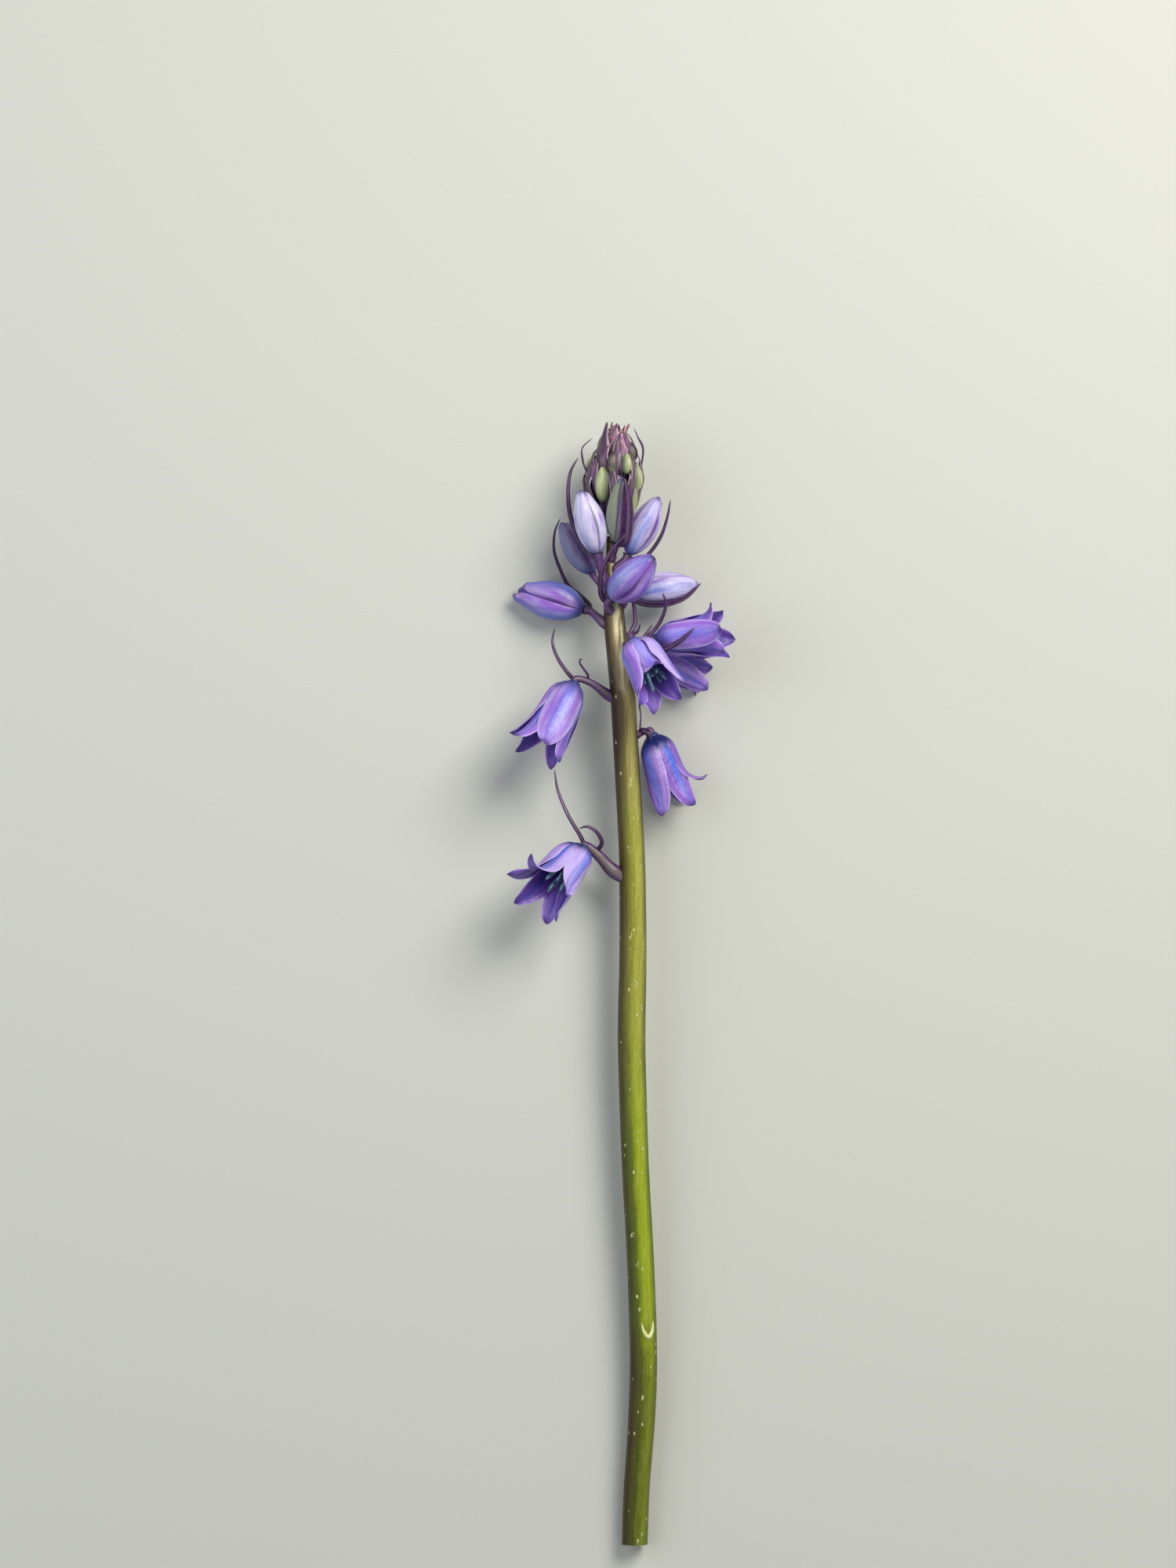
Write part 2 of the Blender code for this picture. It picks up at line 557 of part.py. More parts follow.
YOUNG_BUDS = 40                 # tries on the golden angle for the rest
GOLDEN_ANGLE = 137.5
YOUNG_BUD_SIDES = 5
LOWEST_TRY = -2.0               # heights between which they are tried
TRY_SPAN = 16.0
BUD_ROOM = (3.8, 4.4)           # least distance to the next bud, across and along the axis
BRACT_SINK = 0.4                # a young bud's bract starts this far below it
BRACT_OVER = 2.2                # ends this far past it
BRACT_CLEAR = 0.9               # and stands this far out over its middle


def cone_place(turn, height, radius):
    """A point at a height along the cone's axis, at a turn from the side facing up."""
    foot = mm(CONE_AXIS[0])
    axis = (mm(CONE_AXIS[1]) - foot).normalized()
    up = (Vector((0, 0, 1)) - axis * axis.z).normalized()
    right = axis.cross(up)
    angle = radians(turn)
    return foot + axis * height * MM + (up * cos(angle) + right * sin(angle)) * radius * MM


def cone_shell(height):
    """Radius of the ring on which the young buds stand, at a height along the axis."""
    low = CONE_WAIST + CONE_WIDENING * (height - CONE_BOTTOM)
    over = max(0.0, height - CONE_SHOULDER) / CONE_TAPER
    return min(low, CONE_RADIUS * sqrt(max(0.04, 1 - over ** 2)) - BUD_MIDDLE)


def cone_buds():
    """The buds in front, then the others on the golden angle where there is room."""
    placed = list(FRONT_BUDS)
    for k in range(YOUNG_BUDS):
        turn = (FRONT_BUDS[0][0] + GOLDEN_ANGLE * (k + 1)) % 360
        height = LOWEST_TRY + TRY_SPAN * k / YOUNG_BUDS
        length = 7.6 - 0.25 * height
        foot_radius = cone_shell(height)
        tip_radius = cone_shell(height + length * 0.75)
        room = True
        for other in placed:
            apart = abs((turn - other[0] + 180) % 360 - 180) * max(2.0, foot_radius) * radians(1)
            if apart < BUD_ROOM[0] and abs(height - other[1]) < BUD_ROOM[1]:
                room = False
        if room:
            placed.append((turn, height, foot_radius, height + length, tip_radius,
                           0.75 + 0.11 * length))
    return placed


def bud_cone(mat):
    """The stem's tip with its young buds and their bracts, grown together as one head."""
    pieces = [turned("bud_cone", mm(CONE_FOOT), cone_place(0, CORE_HEIGHT, 0), CORE_SHAPE, MM,
                     CORE_SIDES)]
    for i, (turn, foot, foot_radius, tip, tip_radius, half_width) in enumerate(cone_buds()):
        start = cone_place(turn, foot, foot_radius)
        end = cone_place(turn, tip, tip_radius)
        pieces.append(turned(f"cone_bud_{i}", start, end, YOUNG_BUD_SHAPE, half_width * MM,
                             YOUNG_BUD_SIDES))
        side = turn - degrees(half_width / max(2.6, tip_radius))
        waist = foot + (tip - foot) * 0.4
        bulge = (foot_radius + tip_radius) / 2 + BRACT_CLEAR
        points = [cone_place(turn - 8, foot - BRACT_SINK, foot_radius * 0.8) / MM,
                  cone_place(side, waist, bulge) / MM,
                  cone_place(side, tip, tip_radius + 0.7) / MM,
                  cone_place(turn - 14, tip + BRACT_OVER, tip_radius * 0.72) / MM]
        facing = cone_place(side, 0, 1) - cone_place(0, 0, 0)
        pieces.append(bract(f"cone_bract_{i}", points, 0.4 + 0.2 * half_width, facing, 4))
    return fuse("bud_cone", pieces, mat, "EXACT")


def build():
    for obj in list(bpy.data.objects):
        bpy.data.objects.remove(obj)
    for collection in (PLANT, CUTTERS, REPEATS):
        bpy.context.scene.collection.children.link(collection)
    stem_skin = material("stem_skin", "6d7434", 0.42)
    stalk_skin = material("stalk_skin", "54395f", 0.5)
    tepal_skin = material("tepal_skin", "8570cf", 0.55)
    stamen_skin = material("stamen_skin", "5c7f93", 0.6)
    bud_skin = material("bud_skin", "9c92c9", 0.5)
    cone_skin = material("cone_skin", "7d8660", 0.55)
    finish(scape(), "scape", stem_skin)
    room = clearance()
    for name, f in FLOWERS.items():
        bell(name + "_bell", f["base"], f["mouth"], f["turns"], f["width"], f["flares"],
             f["lengths"], tepal_skin)
        stamens(name + "_stamens", f["base"], f["mouth"], f["turns"][0] + 30, stamen_skin)
        stalk(name + "_stalk", f["path"], f["radii"], f["base"], f["mouth"], DOME_RADIUS + GAP,
              f["bracts"], room, stalk_skin)
    for name, b in BUDS.items():
        bud(name, b["base"], b["tip"], b["radius"], b["spread"], b["turn"], bud_skin)
        stalk(name + "_stalk", b["path"], b["radii"], b["base"], b["tip"], BUD_REACH,
              b["bracts"], room, stalk_skin)
    bud_cone(cone_skin)
    bpy.data.collections.remove(REPEATS)


build()
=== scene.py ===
# %% [markdown]
# # A squill flower head, cut and laid down
# A bluebell squill carries nodding bells on a fleshy stem.  Six bells are open here, seven large
# buds stand above them and a cone of young green buds ends the stem.  The stem runs along +Y on
# the table and the camera looks straight down on it.  The solids of the part are loaded first:
# every finer piece takes the place of one of them, so all sizes below are theirs.
# %% The frame
from math import cos, degrees, exp, pi, radians, sin, sqrt
from random import Random

import bpy
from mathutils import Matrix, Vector


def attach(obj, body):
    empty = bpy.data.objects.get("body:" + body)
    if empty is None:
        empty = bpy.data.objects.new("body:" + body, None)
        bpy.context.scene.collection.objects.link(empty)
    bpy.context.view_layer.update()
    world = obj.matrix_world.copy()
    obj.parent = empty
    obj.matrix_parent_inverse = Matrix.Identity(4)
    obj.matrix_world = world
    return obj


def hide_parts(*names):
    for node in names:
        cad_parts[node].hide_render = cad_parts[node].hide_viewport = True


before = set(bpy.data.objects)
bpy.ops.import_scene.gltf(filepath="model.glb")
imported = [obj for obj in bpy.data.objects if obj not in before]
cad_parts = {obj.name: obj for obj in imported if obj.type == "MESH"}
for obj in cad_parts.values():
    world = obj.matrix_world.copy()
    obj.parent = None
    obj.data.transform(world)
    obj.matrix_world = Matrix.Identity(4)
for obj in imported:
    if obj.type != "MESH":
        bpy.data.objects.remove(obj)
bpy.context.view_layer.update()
MM = 0.001
print("solids loaded:", len(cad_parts))

# %% [markdown]
# ## Curves
# A stalk or a leaf follows a smooth curve through a few points.  Catmull-Rom curves are the
# simplest that pass through all their points, and they work on (x, y, z, radius) as well.
# Everything is in millimetres here and becomes metres when a mesh is made.
# %% Smooth curves and the cross directions on them


def smooth_path(points, count):
    """count places, evenly spread in parameter, on a smooth curve through the points."""
    points = [Vector(p) for p in points]
    ends = [2 * points[0] - points[1]] + points + [2 * points[-1] - points[-2]]
    spans = len(points) - 1
    result = []
    for i in range(count):
        t = spans * i / (count - 1)
        k = min(int(t), spans - 1)
        t -= k
        a, b, c, d = ends[k:k + 4]
        result.append(0.5 * (2 * b + (c - a) * t + (2 * a - 5 * b + 4 * c - d) * t ** 2
                             + (3 * b - a - 3 * c + d) * t ** 3))
    return result


def between(values, t):
    """The value at share t of a list of values, numbers or vectors."""
    at = min(max(t, 0.0), 1.0) * (len(values) - 1)
    k = min(int(at), len(values) - 2)
    return values[k] + (values[k + 1] - values[k]) * (at - k)


def on_line(line, t, facing):
    """At share t of a line: the place, the way along, the way to the right and the way over."""
    ways = [line[min(i + 1, len(line) - 1)] - line[max(i - 1, 0)] for i in range(len(line))]
    way = between(ways, t).normalized()
    right = way.cross(Vector(facing)).normalized()
    return between(line, t), way, right, right.cross(way)


def smooth_step(t):
    t = min(1.0, max(0.0, t))
    return t * t * (3 - 2 * t)


print("a quarter turn on a curve:", smooth_path([(0, 0), (1, 0), (1, 1)], 5)[2])

# %% [markdown]
# ## Skins out of a grid
# Petals, bracts, buds and stalks are all skins with one side across and one along.  Sculpting
# each by hand would never give thirty alike, so each starts as a flat grid, whose corners move
# to where a rule for that organ puts them.  The grid's UV map stays, so a pattern can follow
# the organ from its root (v = 0) to its tip (v = 1).  Each corner also keeps a "look": how
# bright, blue, pale and green its organ is, because no two petals of the plant are the same.
# Solidify gives the thin ones their thickness, and its second material paints the inner face.
# %% The grid skin, the joiner and the round rod
WELD = 0.002 * MM               # corners closer than this are one: at a tip or a tube's seam
THINNING = 0.75                 # share of its thickness that a skin loses at its margins


def activate(obj):
    bpy.ops.object.select_all(action="DESELECT")
    obj.select_set(True)
    bpy.context.view_layer.objects.active = obj


def skin(name, size, place, finishes, look, thickness=0.0):
    """A grid of size (across, along); place(q, t) gives a corner in mm, q in -1..1, t in 0..1."""
    bpy.ops.object.select_all(action="DESELECT")
    bpy.ops.mesh.primitive_grid_add(x_subdivisions=size[0], y_subdivisions=size[1], size=1)
    piece = bpy.context.object
    piece.name = name
    walls = piece.vertex_groups.new(name="walls")
    for corner in piece.data.vertices:
        q = 2 * corner.co.x
        t = corner.co.y + 0.5
        corner.co = place(q, t) * MM
        walls.add([corner.index], 1 - THINNING * max(q ** 6, t ** 8), "REPLACE")
    looks = piece.data.attributes.new("look", "FLOAT_COLOR", "POINT")
    looks.data.foreach_set("color", list(look) * len(piece.data.vertices))
    for finish in finishes:
        piece.data.materials.append(finish)
    bpy.ops.object.mode_set(mode="EDIT")
    bpy.ops.mesh.select_all(action="SELECT")
    bpy.ops.mesh.remove_doubles(threshold=WELD)
    bpy.ops.object.mode_set(mode="OBJECT")
    if thickness:
        bpy.ops.object.modifier_add(type="SOLIDIFY")
        wall = piece.modifiers[-1]
        wall.thickness = thickness * MM
        wall.offset = 0.0
        wall.material_offset = 1
        wall.vertex_group = walls.name
        bpy.ops.object.modifier_apply(modifier=wall.name)
    return piece


def rod(name, points, radius, size, finish, look, facing=(0, 0, 1), lobes=0, depth=0.0, flat=1.0):
    """A closed round body along points; radius(t) is its radius, nothing at both ends, and
    lobes and depth make grooves along it."""
    line = smooth_path(points, 24)

    def place(q, t):
        s = 0.35 * t + 0.65 * (0.5 - 0.5 * cos(pi * t))
        centre, way, right, over = on_line(line, s, facing)
        phi = pi * q
        r = radius(s) * (1 + depth * cos(lobes * phi))
        if t in (0.0, 1.0):
            r = 0.0
        return centre + over * r * cos(phi) * flat + right * r * sin(phi)

    return skin(name, size, place, [finish], look)


def join(name, pieces, node):
    """One object out of the pieces, which stands for a solid of the part."""
    bpy.ops.object.select_all(action="DESELECT")
    for piece in pieces:
        piece.select_set(True)
    bpy.context.view_layer.objects.active = pieces[0]
    if len(pieces) > 1:
        bpy.ops.object.join()
    whole = bpy.context.object
    whole.name = name
    whole.data.name = name
    bpy.ops.object.shade_smooth_by_angle(angle=radians(50))
    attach(whole, "root")
    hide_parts(node)
    print(f"{name}: {len(whole.data.polygons)} faces")
    return whole


print("skins are welded at", WELD / MM, "mm")

# %% [markdown]
# ## Colours and nodes
# Colours are written as sRGB hex, as a colour picker shows them, and one function turns them
# to the linear values that the shader needs.  Another adds a node, sets it and links it, so
# that a material reads like a recipe.  The last two give what materials here have in common:
# a shader for living tissue, and the values that a pattern on an organ can follow.
# %% Helpers for materials


def linear(hex_colour):
    """An sRGB hex colour as linear RGBA."""
    values = [int(hex_colour[i:i + 2], 16) / 255 for i in (0, 2, 4)]
    return [v / 12.92 if v < 0.04045 else ((v + 0.055) / 1.055) ** 2.4 for v in values] + [1.0]


def add(tree, kind, feeds=None, stops=None, **settings):
    """A node with its settings.  feeds gives sockets a value, a colour, a socket or a node."""
    made = tree.nodes.new(kind)
    for name, value in settings.items():
        setattr(made, name, value)
    if stops:
        points = made.color_ramp.elements
        points.remove(points[1])
        points[0].position = stops[0][0]
        points[0].color = linear(stops[0][1])
        for place, colour in stops[1:]:
            points.new(place).color = linear(colour)
    for socket, value in (feeds or {}).items():
        if isinstance(value, bpy.types.Node):
            value = next(out for out in value.outputs if out.enabled)
        if isinstance(value, bpy.types.NodeSocket):
            tree.links.new(value, made.inputs[socket])
        else:
            made.inputs[socket].default_value = linear(value) if isinstance(value, str) else value
    return made


def plant_material(name, roughness, glow, specular=0.5):
    """A Principled material for living tissue: light goes a little way in (glow) under a
    waxy skin."""
    mat = bpy.data.materials.new(name)
    mat.use_nodes = True
    shader = mat.node_tree.nodes["Principled BSDF"]
    shader.inputs["Roughness"].default_value = roughness
    shader.inputs["IOR"].default_value = 1.42
    shader.inputs["Specular IOR Level"].default_value = specular
    shader.inputs["Subsurface Weight"].default_value = glow
    shader.inputs["Subsurface Scale"].default_value = 0.6 * MM
    shader.inputs["Subsurface Radius"].default_value = (1.0, 0.8, 1.0)
    return mat, mat.node_tree, shader


def organ_inputs(tree):
    """On the organ: its UV map, the share along it and the share from its middle to its margin.
    On the plant: the place.  And the organ's look, whole and split into its channels."""
    uv = add(tree, "ShaderNodeUVMap", uv_map="UVMap")
    split = add(tree, "ShaderNodeSeparateXYZ", {0: uv})
    middle = add(tree, "ShaderNodeMath", {0: split.outputs["X"], 1: 2.0, 2: -1.0},
                 operation="MULTIPLY_ADD")
    edge = add(tree, "ShaderNodeMath", {0: middle}, operation="ABSOLUTE")
    place = add(tree, "ShaderNodeTexCoord").outputs["Object"]
    look = add(tree, "ShaderNodeAttribute", attribute_name="look")
    looks = add(tree, "ShaderNodeSeparateColor", {0: look.outputs["Color"]})
    return uv, split.outputs["Y"], edge, place, look, looks.outputs


print("mid grey in linear light:", round(linear("808080")[0], 3))

# %% [markdown]
# ## Petal skin
# A squill's petal is violet with a clear blue stripe along its middle, paler towards its
# margins, navy where it leaves the stalk and darker again at its very tip.  Rows of long cells
# give it fine streaks and a satin gloss.  All of it follows the petal, so the pattern is drawn
# on the UV map: u runs across and v along.  The same recipe serves the outer face, the deeper
# inner face and the buds, with other colours.
#
# Three noises, all stretched along the petal, draw its pattern: long thin cells make the
# streaks, wide soft ones make light patches, partly paler tissue and partly painted highlight,
# and a slow one lets the stripe's edge wander.
# The blue stripe then breaks up into fine lines where the streaks cross it.
# %% The patterns on a petal
STREAKS = (52.0, 2.6, 1.0)      # cells 0.12 mm wide and 7 mm long on a petal
CLOUDS = (5.0, 1.8, 1.0)        # patches 1.3 mm wide and 10 mm long


def petal_patterns(tree, uv, place):
    """Streaks, patches and the wander of the stripe's edge."""
    thin = add(tree, "ShaderNodeMapping", {0: uv, "Scale": STREAKS})
    streaks = add(tree, "ShaderNodeTexNoise", {0: thin, "Scale": 1.0, "Detail": 3.0})
    clouds = add(tree, "ShaderNodeMapping", {0: uv, "Scale": CLOUDS})
    # the place counts so weakly that it only sets one petal's patches off from the next's
    apart = add(tree, "ShaderNodeMapping", {0: place, "Scale": (60.0, 60.0, 60.0)})
    shape = add(tree, "ShaderNodeVectorMath", {0: clouds, 1: apart}, operation="ADD")
    patches = add(tree, "ShaderNodeTexNoise", {0: shape, "Scale": 1.0, "Detail": 4.0})
    ragged = add(tree, "ShaderNodeMapping", {0: shape, "Scale": (1.6, 1.2, 1.0)})
    wander = add(tree, "ShaderNodeTexNoise", {0: ragged, "Scale": 1.0, "Detail": 2.0})
    return streaks, patches, wander


def petal_stripe(tree, off, along, streaks, blueness):
    """The share of blue: full near the root, fading towards the tip, lined by the streaks."""
    stripe = add(tree, "ShaderNodeMapRange", {0: off, 1: 0.46, 2: 0.02, 3: 0.0, 4: 1.0},
                 interpolation_type="SMOOTHSTEP")
    fading = add(tree, "ShaderNodeMapRange", {0: along, 1: 0.8, 2: 0.25, 3: 0.25, 4: 1.0})
    strength = add(tree, "ShaderNodeMath", {0: stripe, 1: fading}, operation="MULTIPLY")
    share = add(tree, "ShaderNodeMath", {0: strength, 1: blueness}, operation="MULTIPLY")
    lined = add(tree, "ShaderNodeMapRange", {0: streaks, 1: 0.35, 2: 0.65, 3: 0.55, 4: 1.1})
    return add(tree, "ShaderNodeMath", {0: share, 1: lined}, operation="MULTIPLY", use_clamp=True)


def petal_pale_and_highlight(tree, patches, paleness):
    """The share of the light patches between the stripe and the margin, partly paler tissue and partly
    painted highlight.
    """
    more = add(tree, "ShaderNodeMath", {0: paleness, 1: 0.3, 2: patches}, operation="MULTIPLY_ADD")
    patch = add(tree, "ShaderNodeMapRange", {0: more, 1: 0.5, 2: 0.82, 3: 0.0, 4: 1.0},
                interpolation_type="SMOOTHSTEP")
    return add(tree, "ShaderNodeMath", {0: patch, 1: paleness}, operation="MULTIPLY")


def petal_surface(tree, shader, streaks, place):
    """Satin gloss, the grain of the cells, and wrinkles of a millimetre or two that break up
    the gloss."""
    gloss = add(tree, "ShaderNodeMapRange", {0: streaks, 3: 0.26, 4: 0.46})
    tree.links.new(gloss.outputs[0], shader.inputs["Roughness"])
    grain = add(tree, "ShaderNodeBump", {"Strength": 0.5, "Distance": 0.06 * MM, "Height": streaks})
    wrinkles = add(tree, "ShaderNodeTexNoise", {0: place, "Scale": 1 / (1.6 * MM), "Detail": 2.0})
    wrinkled = add(tree, "ShaderNodeBump", {"Strength": 0.5, "Distance": 0.4 * MM, "Height": wrinkles,
                                            "Normal": grain})
    tree.links.new(wrinkled.outputs[0], shader.inputs["Normal"])


print("streaks across a petal:", STREAKS[0])

# %% [markdown]
# The recipe lays one colour over the other, as a painter glazes: first the colours across,
# then light patches, which are partly painted highlight, the blue stripe, the green back of an
# unripe bud, the line along the margin, which is a pale margin with painted highlight on a petal
# and painted shade of the seam on a bud, the navy root and the dark tip.  Streaks and the
# petal's own brightness come last.
# %% The recipe for petals


def petal_skin(name, cross, blue, pale, rim_highlight_and_seam_shade, root, tip, green="a9bb7c", brink=(0.86, 0.98)):
    """cross: colours from the middle to the margin; blue: the stripe; pale: the light patches,
    partly paler tissue and partly painted highlight; the rim colour: the line along the margin,
    between the shares of brink, a pale margin with painted highlight on a petal and painted shade
    of the seam on a bud; root and tip: the two ends; green: an unripe bud."""
    mat, tree, shader = plant_material(name, 0.36, 0.2, 0.6)
    uv, along, edge, place, look, looks = organ_inputs(tree)
    streaks, patches, wander = petal_patterns(tree, uv, place)
    shifted = add(tree, "ShaderNodeMath", {0: wander, 1: 0.3, 2: -0.15}, operation="MULTIPLY_ADD")
    off = add(tree, "ShaderNodeMath", {0: edge, 1: shifted}, operation="ADD")
    colour = add(tree, "ShaderNodeValToRGB", {0: off}, stops=cross)
    # the light patches: partly paler tissue, partly painted highlight
    light = petal_pale_and_highlight(tree, patches, looks["Blue"])
    colour = add(tree, "ShaderNodeMix", {0: light, 6: colour, 7: pale}, data_type="RGBA")
    stripe = petal_stripe(tree, off, along, streaks, looks["Green"])
    colour = add(tree, "ShaderNodeMix", {0: stripe, 6: colour, 7: blue}, data_type="RGBA")
    back = add(tree, "ShaderNodeMapRange", {0: off, 1: 1.1, 2: 0.55, 3: 0.0, 4: 1.0},
               interpolation_type="SMOOTHSTEP")
    unripe = add(tree, "ShaderNodeMath", {0: back, 1: look.outputs["Alpha"]}, operation="MULTIPLY")
    colour = add(tree, "ShaderNodeMix", {0: unripe, 6: colour, 7: green}, data_type="RGBA")
    # the line along the margin: a pale margin with painted highlight on a petal, painted shade of the
    # seam on a bud
    rimmed = add(tree, "ShaderNodeMapRange", {0: edge, 1: brink[0], 2: brink[1], 3: 0.0, 4: 0.65},
                 interpolation_type="SMOOTHSTEP")
    colour = add(tree, "ShaderNodeMix", {0: rimmed, 6: colour, 7: rim_highlight_and_seam_shade}, data_type="RGBA")
    rooted = add(tree, "ShaderNodeMapRange", {0: along, 1: 0.25, 2: 0.07, 3: 0.0, 4: 1.2},
                 interpolation_type="SMOOTHSTEP")
    rooted = add(tree, "ShaderNodeMath", {0: rooted, 1: looks["Green"]}, operation="MULTIPLY",
                 use_clamp=True)
    colour = add(tree, "ShaderNodeMix", {0: rooted, 6: colour, 7: root}, data_type="RGBA")
    tipped = add(tree, "ShaderNodeMapRange", {0: along, 1: 0.85, 2: 0.985, 3: 0.0, 4: 0.85},
                 interpolation_type="SMOOTHSTEP")
    colour = add(tree, "ShaderNodeMix", {0: tipped, 6: colour, 7: tip}, data_type="RGBA")
    streaked = add(tree, "ShaderNodeMapRange", {0: streaks, 1: 0.3, 2: 0.7, 3: 0.8, 4: 1.12})
    tone = add(tree, "ShaderNodeMapRange", {0: looks["Red"], 3: 0.7, 4: 1.25})
    value = add(tree, "ShaderNodeMath", {0: streaked, 1: tone}, operation="MULTIPLY")
    toned = add(tree, "ShaderNodeHueSaturation", {"Value": value, "Color": colour})
    tree.links.new(toned.outputs[0], shader.inputs["Base Color"])
    petal_surface(tree, shader, streaks, place)
    return mat


# on both faces of a petal the pale patches and the pale rim are partly painted highlight
petal_outside = petal_skin(
    "satin petal, outer face",
    [(0.0, "7562ca"), (0.3, "7c5cc2"), (0.6, "8a5cc4"), (0.84, "9e76d2"), (1.0, "b79fe8")],
    blue="3a6ee2", pale="c9bdf6", rim_highlight_and_seam_shade="c6b6f2", root="162668", tip="35206e")
petal_inside = petal_skin(
    "satin petal, inner face",
    [(0.0, "4c3a9c"), (0.4, "5e409e"), (0.8, "7650b2"), (1.0, "a688dc")],
    blue="4152bc", pale="9678d2", rim_highlight_and_seam_shade="bba4ea", root="1f2a64", tip="40287a")
# on a bud the dark rim colour is painted shade in the seam where one petal laps over the next
bud_outside = petal_skin(
    "satin bud",
    [(0.0, "7a74cc"), (0.35, "8468c8"), (0.7, "8c5cc0"), (1.0, "7a48b0")],
    blue="3f7cd6", pale="cdc9e8", rim_highlight_and_seam_shade="2a1558", root="2c3f86", tip="2e2468", green="96a27c",
    brink=(0.76, 0.9))
print("petal materials: outer face, inner face, bud")

# %% [markdown]
# ## Stalk and bract skin
# The flower stalks and bracts are aubergine: a purple skin over green tissue.  They are olive and
# pale on the side that faces the light, partly tissue colour and partly painted highlight, and
# pale along a bract's thin margins, partly thin tissue and partly painted highlight.  The young
# buds have the same skin with the purple only in clouds and at the tip, so one recipe serves
# them all.
# %% The skins of stalks, bracts and young buds


def stalk_skin(name, cross, over, mottle, dusk, end, reach=0.6, roughness=0.34):
    """cross: colours from the middle to the margin, and on a stalk the middle is its upper side, so a
    pale start is a painted highlight along its top; over: the side that faces the light, as far as
    reach, partly tissue colour and partly painted highlight; dusk: the purple that spreads over it
    from the tip; end: the very tip.  Its look says how bright it is, how much of over it has and
    how far the dusk has spread."""
    mat, tree, shader = plant_material(name, roughness, 0.08)
    uv, along, edge, place, look, looks = organ_inputs(tree)
    long = add(tree, "ShaderNodeMapping", {0: uv, "Scale": (26.0, 3.0, 1.0)})
    streaks = add(tree, "ShaderNodeTexNoise", {0: long, "Scale": 1.0, "Detail": 4.0})
    patches = add(tree, "ShaderNodeTexNoise", {0: place, "Scale": 1 / (1.5 * MM), "Detail": 5.0,
                                               "Roughness": 0.65})
    wander = add(tree, "ShaderNodeMath", {0: streaks, 1: 0.4, 2: -0.2}, operation="MULTIPLY_ADD")
    off = add(tree, "ShaderNodeMath", {0: edge, 1: wander}, operation="ADD")
    colour = add(tree, "ShaderNodeValToRGB", {0: off}, stops=cross)
    patch = add(tree, "ShaderNodeMapRange", {0: patches, 1: 0.44, 2: 0.62, 3: 0.0, 4: 0.7},
                interpolation_type="SMOOTHSTEP")
    colour = add(tree, "ShaderNodeMix", {0: patch, 6: colour, 7: mottle}, data_type="RGBA")
    back = add(tree, "ShaderNodeMapRange", {0: off, 1: reach, 2: 0.06, 3: 0.0, 4: 1.0},
               interpolation_type="SMOOTHSTEP")
    lit = add(tree, "ShaderNodeMath", {0: back, 1: looks["Green"]}, operation="MULTIPLY")
    colour = add(tree, "ShaderNodeMix", {0: lit, 6: colour, 7: over}, data_type="RGBA")
    high = add(tree, "ShaderNodeMath", {0: along, 1: 0.4, 2: -0.45}, operation="MULTIPLY_ADD")
    cloud = add(tree, "ShaderNodeMath", {0: patches, 1: 0.5, 2: high}, operation="MULTIPLY_ADD")
    purple = add(tree, "ShaderNodeMath", {0: looks["Blue"], 1: 1.5, 2: cloud},
                 operation="MULTIPLY_ADD")
    spread = add(tree, "ShaderNodeMapRange", {0: purple, 1: 0.5, 2: 1.0, 3: 0.0, 4: 1.0},
                 interpolation_type="SMOOTHSTEP")
    colour = add(tree, "ShaderNodeMix", {0: spread, 6: colour, 7: dusk}, data_type="RGBA")
    ended = add(tree, "ShaderNodeMapRange", {0: along, 1: 0.9, 2: 0.985, 3: 0.0, 4: 0.85},
                interpolation_type="SMOOTHSTEP")
    colour = add(tree, "ShaderNodeMix", {0: ended, 6: colour, 7: end}, data_type="RGBA")
    streaked = add(tree, "ShaderNodeMapRange", {0: streaks, 1: 0.3, 2: 0.7, 3: 0.62, 4: 1.28})
    tone = add(tree, "ShaderNodeMapRange", {0: looks["Red"], 3: 0.65, 4: 1.35})
    value = add(tree, "ShaderNodeMath", {0: streaked, 1: tone}, operation="MULTIPLY")
    toned = add(tree, "ShaderNodeHueSaturation", {"Value": value, "Color": colour})
    tree.links.new(toned.outputs[0], shader.inputs["Base Color"])
    grain = add(tree, "ShaderNodeBump", {"Strength": 0.5, "Distance": 0.06 * MM, "Height": streaks})
    tree.links.new(grain.outputs[0], shader.inputs["Normal"])
    return mat


# the pale middle of a stalk's colours is a painted highlight along its top
stalk_purple = stalk_skin(
    "purple stalk skin", [(0.0, "8d7a94"), (0.1, "70527c"), (0.28, "552c68"), (0.44, "2e183c"),
                          (1.0, "2a1538")],
    over="77745e", mottle="74389a", dusk="45204f", end="26305e", reach=0.34)
bract_purple = stalk_skin(
    "aubergine bract", [(0.0, "5e4668"), (0.3, "3a2042"), (0.8, "2e1836"), (1.0, "5d4468")],
    over="8a7c90", mottle="5a2f6c", dusk="2a1430", end="5c5546", reach=0.4)
young_green = stalk_skin(
    "green young bud", [(0.0, "8f9a70"), (0.16, "7c8960"), (0.3, "667350"), (0.44, "5e5c58"),
                       (1.0, "4a3450")],
    over="a4ad82", mottle="5f6a4c", dusk="4c3248", end="54324e", reach=0.4,
    roughness=0.4)
# the pale margins of the cone's thin and pink bracts are partly painted highlight
young_bract = stalk_skin(
    "thin purple bract", [(0.0, "4a2c52"), (0.5, "56365f"), (0.74, "735478"), (0.95, "d0bccb"),
                          (1.0, "ddd0d4")],
    over="95829a", mottle="5e5048", dusk="30203a", end="6e5a58")
bract_pink = stalk_skin(
    "pink tip bract", [(0.0, "7d4060"), (0.5, "8f5a74"), (0.78, "b090a2"), (1.0, "ddd0d4")],
    over="b49aa6", mottle="7a3a58", dusk="5a3048", end="8a8468")
print("stalk, bract and young bud materials")
